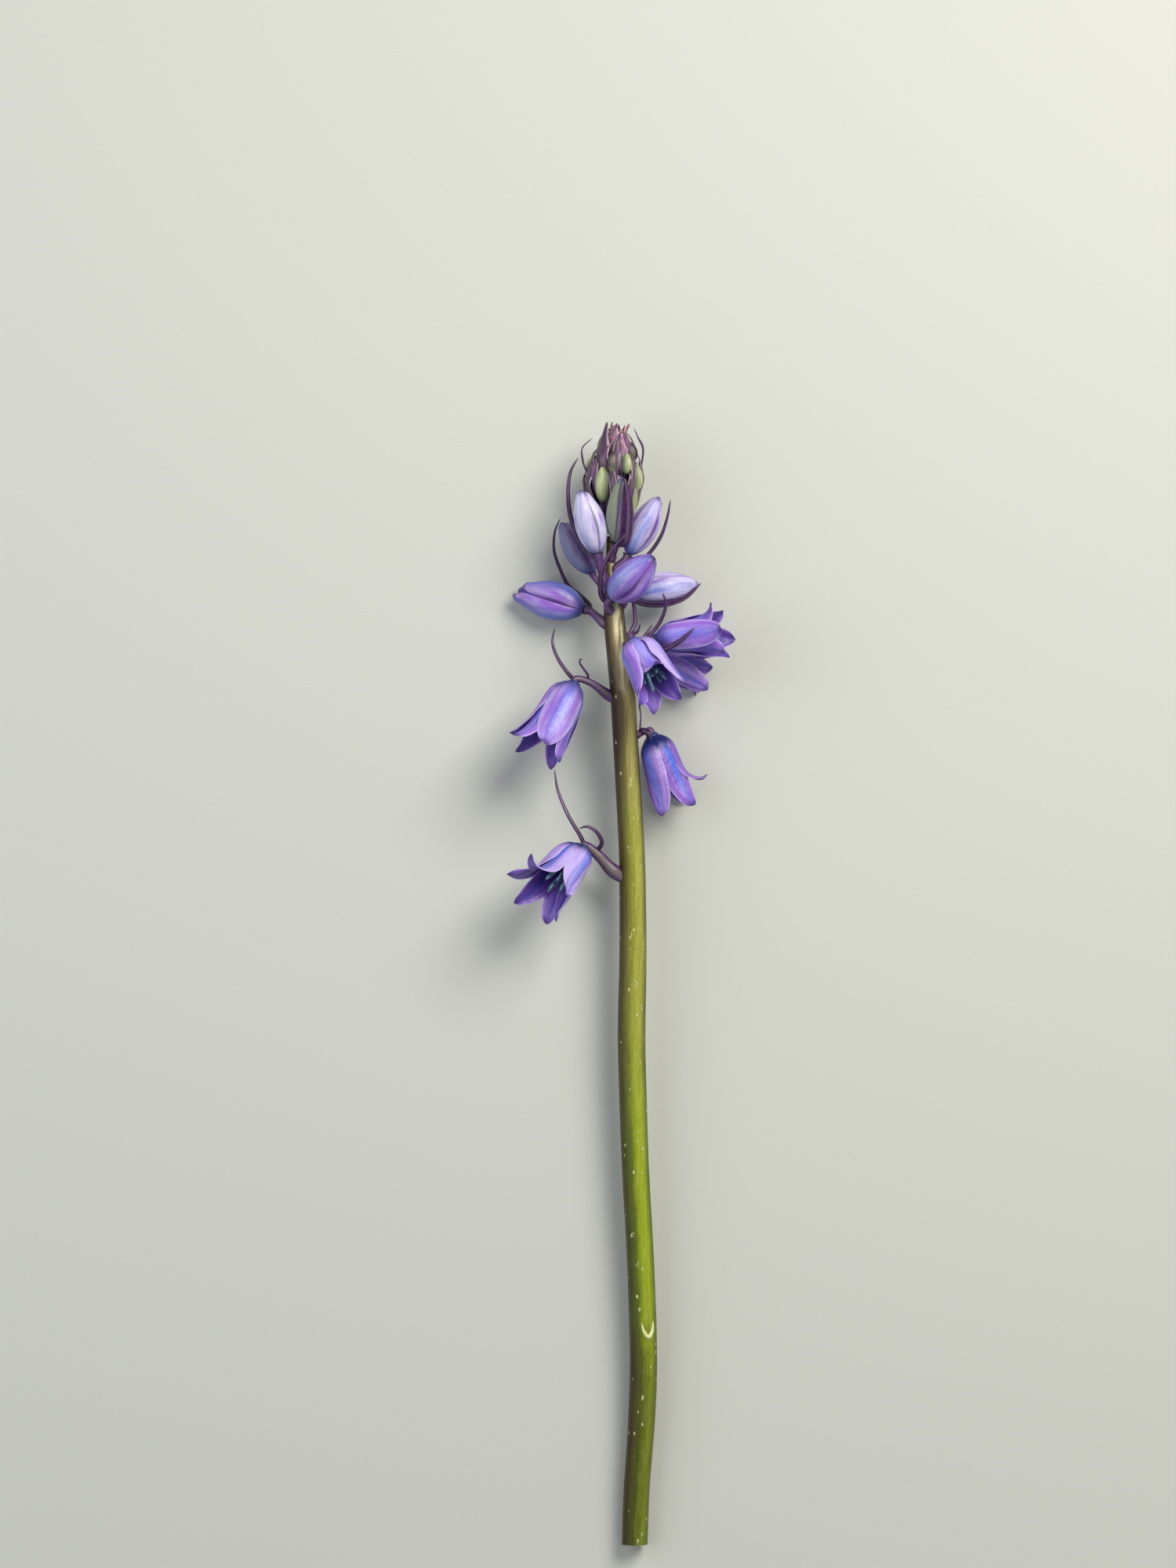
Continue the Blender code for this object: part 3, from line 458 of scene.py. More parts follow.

# %% [markdown]
# ## The stem's skin
# The thick stem is leaf green low down, with a brown foot, and turns olive half way and
# purple-brown between the flowers.  At each height a ramp of colours runs across it: a dark
# shoulder on its left, partly brown tissue and partly painted shade, a bright stripe right of its
# middle that is a painted highlight, and darker again to its right edge, which is painted shade.
# Each ramp takes over from the one below in a soft step.
# %% The stem's colours
# across the stem the dark left and right ends are partly tissue colour and partly painted shade, and
# the bright stripe right of the middle, cream at the top, is a painted highlight
FOOT_COLOURS = [(0.0, "2e2610"), (0.2, "463c10"), (0.42, "484e0c"), (0.6, "5c6810"),
                (0.8, "707e16"), (1.0, "505c12")]
STEM_ZONES = [  # between which shares of its height the stem takes on the colours that follow
    (0.2, 0.3, [(0.0, "34360f"), (0.16, "4a5010"), (0.36, "566212"), (0.46, "7a8a16"),
                (0.6, "8e9e1a"), (0.8, "92a21a"), (0.92, "6a7a14"), (1.0, "4a5c14")]),
    (0.38, 0.66, [(0.0, "2e2614"), (0.1, "4a401c"), (0.28, "686522"), (0.42, "7e802a"),
                  (0.62, "9c9e3c"), (0.82, "9c9e44"), (0.94, "706f2c"), (1.0, "4c4a22")]),
    (0.74, 0.86, [(0.0, "201610"), (0.12, "3c2e20"), (0.38, "5c4c2e"), (0.52, "857a46"),
                  (0.72, "a29a5c"), (0.88, "7c7440"), (1.0, "40361f")]),
    (0.885, 0.91, [(0.0, "261a18"), (0.15, "4a3b2a"), (0.34, "786a46"), (0.48, "a79c70"),
                   (0.58, "c9c29a"), (0.68, "8c8054"), (0.84, "65573a"), (1.0, "342826")]),
]


def cell_scale(width, length):
    """The scale of a pattern whose cells are this wide across the stem and this long along it,
    in mm."""
    return 1 / (width * MM), 1 / (length * MM), 1 / (width * MM)


def stem_colours(tree, across, along):
    """The ramp across the stem that belongs to each height."""
    colour = add(tree, "ShaderNodeValToRGB", {0: across}, stops=FOOT_COLOURS)
    for start, end, stops in STEM_ZONES:
        higher = add(tree, "ShaderNodeValToRGB", {0: across}, stops=stops)
        share = add(tree, "ShaderNodeMapRange", {0: along, 1: start, 2: end, 3: 0.0, 4: 1.0},
                    interpolation_type="SMOOTHSTEP")
        colour = add(tree, "ShaderNodeMix", {0: share, 6: colour, 7: higher}, data_type="RGBA")
    return colour


print("colour zones up the stem:", len(STEM_ZONES) + 1)

# %% [markdown]
# Two kinds of marks lie on these colours.  Cream flecks of about half a millimetre are
# scattered all the way up: a Voronoi pattern chooses one cell in sixteen and paints a spot in
# its middle.  Between the buds, broken cream streaks right of the middle are a painted highlight
# of the glossy skin.
# %% Flecks and a painted highlight on the stem
FLECKED = (0.93, 0.95)          # a cell carries a fleck if its random number is above these


def stem_flecks(tree, place):
    """The share of cream at a place."""
    drawn = add(tree, "ShaderNodeMapping", {0: place, "Scale": cell_scale(0.9, 1.6)})
    flecks = add(tree, "ShaderNodeTexVoronoi", {0: drawn, "Scale": 1.0, "Randomness": 1.0})
    chosen = add(tree, "ShaderNodeSeparateColor", {0: flecks.outputs["Color"]})
    few = add(tree, "ShaderNodeMapRange",
              {0: chosen.outputs["Red"], 1: FLECKED[0], 2: FLECKED[1], 3: 0.0, 4: 1.0})
    spot = add(tree, "ShaderNodeMapRange",
               {0: flecks.outputs["Distance"], 1: 0.30, 2: 0.14, 3: 0.0, 4: 0.75})
    return add(tree, "ShaderNodeMath", {0: few, 1: spot}, operation="MULTIPLY")


def stem_painted_highlight(tree, across, along, streaks):
    """The share of painted highlight: high on the stem, between two shores across it, in streaks."""
    painted_highlight = add(tree, "ShaderNodeMapRange", {0: across, 1: 0.4, 2: 0.58, 3: 0.0, 4: 1.0},
              interpolation_type="SMOOTHSTEP")
    shore = add(tree, "ShaderNodeMapRange", {0: across, 1: 0.9, 2: 0.78, 3: 0.0, 4: 1.0},
                interpolation_type="SMOOTHSTEP")
    upper = add(tree, "ShaderNodeMapRange", {0: along, 1: 0.9, 2: 0.96, 3: 0.05, 4: 1.0},
                interpolation_type="SMOOTHSTEP")
    lines = add(tree, "ShaderNodeMapRange", {0: streaks, 1: 0.42, 2: 0.54, 3: 0.0, 4: 0.95},
                interpolation_type="SMOOTHSTEP")
    for limit in (shore, upper, lines):
        painted_highlight = add(tree, "ShaderNodeMath", {0: painted_highlight, 1: limit}, operation="MULTIPLY")
    return painted_highlight


print("share of cells with a fleck:", round(1 - sum(FLECKED) / 2, 2))

# %% [markdown]
# The stem's streaks are faint on the smooth lower skin and strong between the flowers, and
# fine grains, the pale mouths of its pores, lie over all of it.  A thin wax gives it a gloss
# that changes from mottle to mottle.
# %% The skin of the stem


def stem_skin():
    mat, tree, shader = plant_material("waxy stem skin", 0.36, 0.06, 0.34)
    place = add(tree, "ShaderNodeTexCoord").outputs["Object"]
    look = add(tree, "ShaderNodeAttribute", attribute_name="look")
    looks = add(tree, "ShaderNodeSeparateColor", {0: look.outputs["Color"]})
    thin = add(tree, "ShaderNodeMapping", {0: place, "Scale": cell_scale(0.35, 9)})
    streaks = add(tree, "ShaderNodeTexNoise", {0: thin, "Scale": 1.0, "Detail": 3.0})
    broad = add(tree, "ShaderNodeMapping", {0: place, "Scale": cell_scale(2, 6)})
    mottles = add(tree, "ShaderNodeTexNoise", {0: broad, "Scale": 1.0, "Detail": 4.0})
    fine = add(tree, "ShaderNodeMapping", {0: place, "Scale": cell_scale(0.3, 0.7)})
    grains = add(tree, "ShaderNodeTexNoise", {0: fine, "Scale": 1.0, "Detail": 2.0})
    wander = add(tree, "ShaderNodeMath", {0: mottles, 1: 0.16, 2: -0.08}, operation="MULTIPLY_ADD")
    across = add(tree, "ShaderNodeMath", {0: looks.outputs["Red"], 1: wander}, operation="ADD")
    along = add(tree, "ShaderNodeMath", {0: mottles, 1: 0.1, 2: looks.outputs["Green"]},
                operation="MULTIPLY_ADD")
    colour = stem_colours(tree, across, along)
    soft = add(tree, "ShaderNodeMapRange", {0: streaks, 1: 0.3, 2: 0.7, 3: 0.93, 4: 1.06})
    strong = add(tree, "ShaderNodeMapRange", {0: streaks, 1: 0.3, 2: 0.7, 3: 0.76, 4: 1.18})
    rising = add(tree, "ShaderNodeMapRange", {0: along, 1: 0.4, 2: 0.85, 3: 0.0, 4: 1.0})
    streaked = add(tree, "ShaderNodeMix", {0: rising, 2: soft, 3: strong})
    grained = add(tree, "ShaderNodeMapRange", {0: grains, 1: 0.25, 2: 0.75, 3: 0.84, 4: 1.16})
    value = add(tree, "ShaderNodeMath", {0: streaked, 1: grained}, operation="MULTIPLY")
    toned = add(tree, "ShaderNodeHueSaturation", {"Value": value, "Color": colour})
    painted_highlight = stem_painted_highlight(tree, across, along, streaks)
    # the cream streaks laid on here are a painted highlight on the glossy skin
    highlighted = add(tree, "ShaderNodeMix", {0: painted_highlight, 6: toned, 7: "dbd5a8"}, data_type="RGBA")
    fleck = stem_flecks(tree, place)
    colour = add(tree, "ShaderNodeMix", {0: fleck, 6: highlighted, 7: "d9d8a6"}, data_type="RGBA")
    tree.links.new(colour.outputs[2], shader.inputs["Base Color"])
    gloss = add(tree, "ShaderNodeMapRange", {0: mottles, 3: 0.26, 4: 0.5})
    tree.links.new(gloss.outputs[0], shader.inputs["Roughness"])
    grain = add(tree, "ShaderNodeBump", {"Strength": 0.5, "Distance": 0.05 * MM, "Height": streaks})
    tree.links.new(grain.outputs[0], shader.inputs["Normal"])
    return mat


stem_green = stem_skin()
print("stem material:", stem_green.name)

# %% [markdown]
# ## Plain tissues
# The cut end, the scars and the parts inside a bell are too small to show a pattern of their
# own.  Each is two colours in soft mottles, and what tells them apart is their gloss.
# %% The recipe for plain tissue


def flesh(name, dark, bright, roughness, size):
    """Plain tissue with soft mottles of the given size in mm."""
    mat, tree, shader = plant_material(name, roughness, 0.2)
    place = add(tree, "ShaderNodeTexCoord").outputs["Object"]
    mottles = add(tree, "ShaderNodeTexNoise", {0: place, "Scale": 1 / (size * MM), "Detail": 4.0})
    colour = add(tree, "ShaderNodeValToRGB", {0: mottles}, stops=[(0.32, dark), (0.68, bright)])
    tree.links.new(colour.outputs[0], shader.inputs["Base Color"])
    grain = add(tree, "ShaderNodeBump", {"Strength": 0.4, "Distance": 0.05 * MM, "Height": mottles})
    tree.links.new(grain.outputs[0], shader.inputs["Normal"])
    return mat


# freshly cut tissue is wet, so it gleams, and an old scar has dried to a dull cream
cut_flesh = flesh("wet cut stem flesh", "c3cf7e", "e6ecb0", 0.3, 0.4)
scar_cream = flesh("dry pale scar", "a6a860", "d6d69c", 0.6, 0.3)
# a closed anther is taut and satin: dark slate mottled with pale blue, which is partly painted
# highlight
anther_teal = flesh("slate blue anther", "2a4656", "9accd4", 0.35, 0.6)
# threads, ovary and the petals' joined feet are soft and nearly matt
filament_pale = flesh("pale blue filament", "7f8fc8", "b4c0ea", 0.45, 0.8)
ovary_blue = flesh("blue ovary", "5468a8", "8296cc", 0.45, 0.6)
dome_navy = flesh("navy flower base", "20305e", "33478a", 0.45, 0.7)
print("cut end, scar, stamen and flower base materials")

# %% [markdown]
# ## The stem
# The scape is a fleshy round stem, cut straight at its lower end, a little thicker half way up
# and drawn in sharply between the topmost buds.  By hand one would extrude a circle again and
# again, moving and resizing it each time, and that is how it is made: 64 corners round, one
# ring every 0.8 mm.  Low ribs and slow swellings then keep it from looking turned on a lathe.
# %% The stem's rings
SCAPE = [
    (2.9, -115.0, 2.67, 2.66), (3.3, -104.0, 3.20, 2.66), (4.3, -90.0, 3.90, 2.76),
    (4.7, -76.0, 4.50, 2.80), (4.2, -59.0, 5.20, 2.78), (3.0, -36.0, 6.15, 2.78),
    (2.3, -13.5, 7.05, 2.84), (2.5, 4.0, 7.80, 2.80), (2.5, 16.9, 8.30, 2.72),
    (2.3, 27.0, 8.65, 2.66), (1.5, 40.9, 9.15, 2.58), (0.6, 56.9, 9.70, 2.56),
    (-0.2, 65.0, 9.95, 2.46), (-1.1, 72.5, 10.2, 2.22), (-1.4, 76.9, 10.3, 2.02),
    (-1.7, 80.4, 10.4, 1.52), (-2.0, 85.0, 10.5, 1.02), (-1.9, 91.4, 10.65, 0.92),
]
STEM_SIDES = 64
STEM_RINGS = 250
stem_line = smooth_path(SCAPE, 400)
STEM_FOOT = SCAPE[0][1]
STEM_SPAN = SCAPE[-1][1] - STEM_FOOT


def stem_at(y):
    """The stem's centre and radius at a place along it, in mm."""
    low = 0
    high = len(stem_line) - 1
    while high - low > 1:
        mid = (low + high) // 2
        if stem_line[mid].y > y:
            high = mid
        else:
            low = mid
    share = (y - stem_line[low].y) / (stem_line[high].y - stem_line[low].y)
    return stem_line[low].lerp(stem_line[high], min(1.0, max(0.0, share)))


x, y, z, r = stem_line[0]
bpy.ops.object.select_all(action="DESELECT")
bpy.ops.mesh.primitive_circle_add(vertices=STEM_SIDES, radius=r * MM, fill_type="NGON",
                                  location=(x * MM, y * MM, z * MM), rotation=(pi / 2, 0, 0))
stem = bpy.context.object
bpy.ops.object.transform_apply(location=True, rotation=True, scale=True)
bpy.ops.object.mode_set(mode="EDIT")
bpy.ops.mesh.select_all(action="SELECT")
for i in range(1, STEM_RINGS + 1):
    there = stem_at(STEM_FOOT + STEM_SPAN * i / STEM_RINGS)
    step = there - Vector((x, y, z, r))
    bpy.ops.mesh.extrude_region_move(
        TRANSFORM_OT_translate={"value": (step.x * MM, step.y * MM, step.z * MM)})
    bpy.ops.transform.resize(value=(there.w / r,) * 3, center_override=there.xyz * MM)
    x, y, z, r = there
bpy.ops.mesh.select_all(action="SELECT")
bpy.ops.mesh.normals_make_consistent(inside=False)
bpy.ops.object.mode_set(mode="OBJECT")
print("stem:", len(stem.data.vertices), "corners")

# %% [markdown]
# The old nick on the lower stem is where a blade took off a sliver of skin: a shallow gouge
# that comes down the stem and ends in a raised U of pale flesh.  A stretched sphere, sunk into
# the surface and lifted at its upper end, cuts the gouge with a Boolean; the U is a thin rod
# that is laid round its lower end.
# %% The nick, the cut end and the small swellings
TINY = 0.05                     # less than the distance between two rings or rows of corners
NICK = Vector((5.5, -70.9, 0.0))
NICK_RADIUS = 1.1
NICK_DEPTH = 0.5
NICK_RUN = 17.0                 # how far up the stem the gouge reaches
NICK_DRIFT = -0.6               # how far it goes to the side on its way
NICK_LIFT = 1.55                # and how far it rises, out of the skin
RIB_DEPTH = 0.02                # of the low ribs and of the slow swellings, as a share
RIBS = 9
RIB_WANDER = 0.3
here = stem_at(NICK.y)
NICK.z = here.z + sqrt(here.w ** 2 - (NICK.x - here.x) ** 2) + NICK_RADIUS - NICK_DEPTH
bpy.ops.object.select_all(action="DESELECT")
bpy.ops.mesh.primitive_uv_sphere_add(segments=32, ring_count=20, radius=NICK_RADIUS * MM,
                                     location=NICK * MM, rotation=(pi / 2, 0, 0))
knife = bpy.context.object
bpy.ops.object.transform_apply(location=True, rotation=True, scale=True)
bpy.ops.object.mode_set(mode="EDIT")
bpy.ops.mesh.select_all(action="DESELECT")
bpy.ops.object.mode_set(mode="OBJECT")
for corner in knife.data.vertices:
    corner.select = corner.co.y > (NICK.y + TINY) * MM
bpy.ops.object.mode_set(mode="EDIT")
bpy.ops.transform.translate(value=(NICK_DRIFT * MM, NICK_RUN * MM, NICK_LIFT * MM))
bpy.ops.object.mode_set(mode="OBJECT")
activate(stem)
bpy.ops.object.modifier_add(type="BOOLEAN")
stem.modifiers[-1].operation = "DIFFERENCE"
stem.modifiers[-1].solver = "EXACT"
stem.modifiers[-1].object = knife
bpy.ops.object.modifier_apply(modifier=stem.modifiers[-1].name)
bpy.data.objects.remove(knife)
stem.data.materials.clear()
stem.data.materials.append(stem_green)
stem.data.materials.append(cut_flesh)
for face in stem.data.polygons:
    along = face.center.y / MM - STEM_FOOT
    face.material_index = 1 if along < TINY or along > STEM_SPAN - TINY else 0
# the stem's look says how far across it a corner is, how far along and how far up
looks = stem.data.attributes.new("look", "FLOAT_COLOR", "POINT")
colours = []
for corner in stem.data.vertices:
    x, y, z = corner.co / MM
    here = stem_at(y)
    side = (x - here.x) / here.w
    rise = (z - here.z) / here.w
    ribs = sin(RIBS * (side + 0.4 * rise) + RIB_WANDER * sin(0.31 * y))
    rib = RIB_DEPTH * (ribs + side * sin(0.21 * y))
    corner.co.x += side * rib * MM
    if z > here.z:
        corner.co.z += rise * rib * MM
    colours += [0.5 + 0.5 * side, (y - STEM_FOOT) / STEM_SPAN, 0.5 + 0.5 * rise, 1.0]
looks.data.foreach_set("color", colours)
print("the nick is", NICK_DEPTH, "mm deep; stem faces:", len(stem.data.polygons))

# %% [markdown]
# Old leaf and insect marks sit on the stem as dry pale scars, one to three millimetres long.
# A long one is a cluster of small flecks.  Each fleck is a low blister along the stem, sunk
# most of the way into the surface.
# %% The scars
SCARS = [  # x, y, length, width
    (2.5, -51.2, 1.1, 0.6), (3.3, -57.2, 1.2, 0.6), (3.5, -63.9, 0.9, 0.5), (3.8, -66.5, 1.0, 0.6),
    (1.7, -60.1, 0.6, 0.4), (5.8, -46.8, 0.7, 0.4), (1.7, 27.7, 2.0, 0.6), (4.2, 23.7, 1.2, 0.5),
    (2.1, 10.6, 2.6, 0.6), (3.2, -0.1, 1.8, 0.6), (4.2, -4.6, 1.2, 0.5), (3.3, -6.3, 0.9, 0.5),
    (1.9, 41.6, 2.2, 0.6), (2.9, -92.0, 0.8, 0.4), (4.6, -84.5, 0.9, 0.5), (3.6, -30.2, 0.6, 0.3),
    (1.9, -21.4, 0.6, 0.3), (4.0, -16.0, 0.7, 0.3), (2.6, 33.9, 0.7, 0.3), (4.4, -38.6, 0.7, 0.35),
]
SCAR_SUNK = 0.02
SCAR_FLATNESS = 0.42
CLUSTER_FROM = 1.1              # a scar of this length or more is a cluster of flecks
CLUSTER_SIZE = 6
LIP = [(4.35, -69.2), (4.75, -71.0), (5.75, -72.2), (6.45, -70.9), (6.66, -68.9)]
LIP_RADIUS = 0.42
points = []
for x, y in LIP:
    here = stem_at(y)
    points.append((x, y, here.z + sqrt(here.w ** 2 - (x - here.x) ** 2)))
scars = [rod("lip", points, lambda t: LIP_RADIUS * sin(pi * t) ** 0.7 * (0.8 + 0.4 * t), (12, 24),
             cut_flesh, (0.5, 0, 0, 1), flat=0.7)]
flecks = []
marks = Random(4)
for x, y, length, width in SCARS:
    if length < CLUSTER_FROM:
        flecks.append((x, y, length, width))
        continue
    for k in range(CLUSTER_SIZE):
        flecks.append((x + marks.uniform(-0.55, 0.55) * width, y + marks.uniform(-0.5, 0.5) * length,
                       marks.uniform(0.2, 0.5) * length, marks.uniform(0.3, 0.6) * width))
for x, y, length, width in flecks:
    here = stem_at(y)
    z = here.z + sqrt(max(0.2, here.w ** 2 - (x - here.x) ** 2)) - SCAR_SUNK
    out = Vector((x - here.x, 0, z - here.z))
    bent = x + marks.uniform(-0.25, 0.25) * width
    scars.append(rod("scar", [(x, y - length / 2, z), (bent, y, z), (x, y + length / 2, z)],
                     lambda t, w=width: 0.5 * w * sin(pi * t) ** 0.6,
                     (8, 10), scar_cream, (0.5, 0, 0, 1), facing=out, lobes=5, depth=0.15,
                     flat=SCAR_FLATNESS))
print("flecks:", len(flecks))
join("stem", [stem] + scars, "scape")

# %% [markdown]
# ## An open flower
# A bell is six petals round one axis: three outer and, half a step further in, three inner
# ones.  Each leaves the flower's base almost flat, turns along the bell, and flares or rolls
# back at its tip by its own angle.  The profile adds up small steps of that changing lean.
# Across, it is bent to the bell's radius, with a shallow groove on its midrib, margins that
# roll in towards the tip and a slow ripple, so the light breaks on it as on a real petal.
# %% The rule for one petal
TEPAL_LENGTH = 18.6
TEPAL_HALF_WIDTH = 3.15
TEPAL_THICKNESS = 0.24
THROAT = 0.90                   # radius on which the petals' roots stand
LAYER = 0.40                    # outer petals stand this far out, inner ones this far in
BASE_LEAN = 74                  # degrees from the axis at the root
BODY_LEAN = 3                   # and along the bell's straight body
ROOT_CURVE = 0.42
FLARE_START = 0.55
STEPS = 60
WIDEST = 0.5
ROOT_WIDTH = 0.74
TIP_LOSS = 0.85
TIP_START = 0.93                # where the tip rounds off, as a share of the length
TIP_FLATNESS = 0.5
GROOVE = 0.13                   # depth of the groove on the midrib
GROOVE_WIDTH = 0.16             # and its width, as a share of the half width
PLEAT = 0.05                    # height of the low pleats on both sides of it
HOOD = 0.55                     # how far the margins roll in at the tip
HUG = 0.75                      # how far an outer petal's margins bend to the inner ones
RUFFLE = 0.3
RUFFLE_WAVES = (6, 21)          # radians along a petal: the slow ripple and the fine frill
chance = Random(11)


def cross_frame(base, tip):
    """A flower's axis, the way up across it and the way to its right."""
    axis = (Vector(tip) - Vector(base)).normalized()
    up = (Vector((0, 0, 1)) - axis * axis.z).normalized()
    return axis, up, up.cross(axis)


def petal_track(length, flare):
    """Radius, height and lean along a petal's middle."""
    radius = THROAT
    height = 0.0
    track = [Vector((radius, height, radians(BASE_LEAN)))]
    for i in range(STEPS):
        s = (i + 0.5) / STEPS
        lean = BODY_LEAN + BASE_LEAN * max(0.0, 1 - s / ROOT_CURVE) ** 2
        lean += flare * max(0.0, (s - FLARE_START) / (1 - FLARE_START)) ** 1.5
        radius += sin(radians(lean)) * length / STEPS
        height += cos(radians(lean)) * length / STEPS
        track.append(Vector((radius, height, radians(lean))))
    return track


def petal_width(s):
    """Half width at share s of the length, against the widest: blunt, then closed at the tip."""
    rise = ROOT_WIDTH + (1 - ROOT_WIDTH) * sin(pi / 2 * min(1.0, s / WIDEST))
    point = sqrt(max(0.0, 1 - (max(0.0, s - TIP_START) / (1 - TIP_START)) ** 2))
    return rise * (1 - TIP_LOSS * max(0.0, (s - WIDEST) / (1 - WIDEST)) ** 2.3) * point


def petal(name, origin, frame_of_bell, turn, layer, length, flare, width, look, roll, crease):
    """One petal of a bell, turned round its axis, in the outer or the inner layer."""
    axis, up, right = frame_of_bell
    outward = up * cos(turn) + right * sin(turn)
    aside = up * sin(turn) - right * cos(turn)
    track = petal_track(length, flare)
    sway = chance.uniform(-0.5, 0.5)
    phase = chance.uniform(0, 2 * pi)
    roll *= HOOD * chance.uniform(0.5, 1.4)
    twist = chance.uniform(-0.4, 0.4)
    slow, fine = RUFFLE_WAVES

    def place(q, t):
        s = t * (2 - t) * 0.35 + t * 0.65
        radius, height, lean = between(track, s)
        radius += layer * smooth_step(4 * s)
        bend = radius * (1 + TIP_FLATNESS * s ** 3)
        across = q * TEPAL_HALF_WIDTH * width * petal_width(s)
        over = outward * cos(lean) - axis * sin(lean)
        sunk = bend * (1 - cos(across / bend))
        sunk += crease * GROOVE * exp(-(q / GROOVE_WIDTH) ** 2) * sin(pi * min(1.0, s * 1.05))
        sunk -= crease * PLEAT * cos(3.5 * pi * q) * sin(pi * s)
        free = min(1.0, 2.2 * petal_width(s))
        sunk += free * roll * q * q * smooth_step((s - 0.6) / 0.4)
        sunk += free * twist * q * smooth_step((s - 0.5) / 0.5)
        sunk += free * RUFFLE * q * abs(q) * sin(slow * s + phase) * s
        sunk += 0.35 * RUFFLE * q ** 4 * sin(fine * s + 2 * phase + 2 * q) * smooth_step(2 * s)
        if layer > 0:
            sunk += HUG * q * q * exp(-((s - 0.32) / 0.27) ** 2)
        aside_now = bend * sin(across / bend) + sway * s ** 2
        return origin + axis * height + outward * radius + aside * aside_now - over * sunk

    return skin(name, (20, 44), place, [petal_outside, petal_inside], look, TEPAL_THICKNESS)


print("a petal's widest share:", round(petal_width(WIDEST), 2))

# %% [markdown]
# Inside the bell, six stamens stand round the pistil.  A stamen is a pale thread that carries
# a long slate-blue anther with a groove down its middle; the pistil is a fat ovary with a thin
# style.  All are rods whose radius changes along them.
# %% The rules for stamens and the flower's base
DOME_RADIUS = 1.45              # of the solid's dome, GAP above which the stamens start
GAP = 0.32
DOME_BELOW = 0.8                # the finer dome: its two ends on the axis and its radius
DOME_ABOVE = 1.4
DOME_SWELL = 1.35
STAMEN_LENGTHS = (10.5, 9.3)    # three long ones and three short ones in turn
STAMEN_FOOT = 0.765             # how far from the axis a stamen starts
STAMEN_SPREAD = 2.1             # and how far from it the stamen ends
THREAD_END = 0.64               # shares of a stamen: its thread ends behind its anther
THREAD_RADIUS = (0.30, 0.18)
ANTHER_START = 0.54
ANTHER_MIDDLE = 0.78
ANTHER_RADIUS = 0.52
BOW = 0.1                       # how far a stamen bows out
PISTIL_LENGTH = 8.3
OVARY_MIDDLE = 1.9
OVARY_LENGTH = 3.9
OVARY_RADIUS = 1.15
STYLE_START = 3.4
STYLE_RADIUS = 0.28
ALIKE = (1,) * 6                # six petals that don't differ
PLAIN = (0.5, 0.5, 0.5, 1)      # the look of a piece that doesn't differ from flower to flower


def stamens(name, base, mouth, turn):
    axis, up, right = cross_frame(base, mouth)
    floor = Vector(base) + axis * (DOME_RADIUS + GAP)
    pieces = []
    for k in range(6):
        angle = radians(turn + 60 * k)
        outward = up * cos(angle) + right * sin(angle)
        foot = floor + outward * STAMEN_FOOT
        tip = floor + axis * STAMEN_LENGTHS[k % 2] + outward * STAMEN_SPREAD
        joint = foot.lerp(tip, THREAD_END) + outward * 1.2 * BOW
        bright = (0.3 + 0.4 * chance.random(), 0.5, 0.5, 1)
        pieces.append(rod(name, [foot, foot.lerp(joint, 0.5) + outward * BOW, joint],
                          lambda t: between(THREAD_RADIUS, t), (8, 10), filament_pale, bright))
        line = [foot.lerp(tip, ANTHER_START), foot.lerp(tip, ANTHER_MIDDLE) + outward * BOW, tip]
        pieces.append(rod(name, line, lambda t: ANTHER_RADIUS * sin(pi * t ** 0.9) ** 0.4, (16, 16),
                          anther_teal, bright, facing=outward, lobes=2, depth=0.22, flat=0.75))
    line = [floor, floor + axis * OVARY_MIDDLE, floor + axis * OVARY_LENGTH]
    pieces.append(rod(name, line,
                      lambda t: OVARY_RADIUS * sin(pi * min(1.0, t * 0.86 + 0.12)) ** 0.6,
                      (18, 14), ovary_blue, PLAIN, lobes=3, depth=0.08))
    line = [floor + axis * STYLE_START, floor + axis * 6, floor + axis * PISTIL_LENGTH]
    pieces.append(rod(name, line, lambda t: STYLE_RADIUS + 0.10 * t ** 6, (8, 10), filament_pale,
                      PLAIN))
    join(name + "_anthers", pieces, name + "_stamens")


def flower(name, f):
    """The six petals on their dome, and the stamens inside."""
    bell_frame = cross_frame(f["base"], f["mouth"])
    origin = Vector(f["base"])
    axis = bell_frame[0]
    pieces = [rod(name, [origin - axis * DOME_BELOW, origin, origin + axis * DOME_ABOVE],
                  lambda t: DOME_SWELL * sqrt(sin(pi * t)), (20, 12), dome_navy, PLAIN,
                  lobes=6, depth=0.05)]
    for k in range(6):
        tone, blue, pale = f["look"]
        look = (tone + chance.uniform(-0.12, 0.12), blue * chance.uniform(0.8, 1.1),
                pale * chance.uniform(0.6, 1.3), 0.0)
        pieces.append(petal(name, origin, bell_frame, radians(f["turns"][k]),
                            LAYER if k % 2 == 0 else -LAYER, TEPAL_LENGTH * f["lengths"][k],
                            f["flares"][k], f["width"] * f.get("widths", ALIKE)[k], look,
                            f.get("rolls", ALIKE)[k], f.get("crease", 1.0)))
    join(name + "_petals", pieces, name + "_bell")
    stamens(name, f["base"], f["mouth"], f["turns"][0] + 30)


print("stamens are", STAMEN_LENGTHS, "mm long")

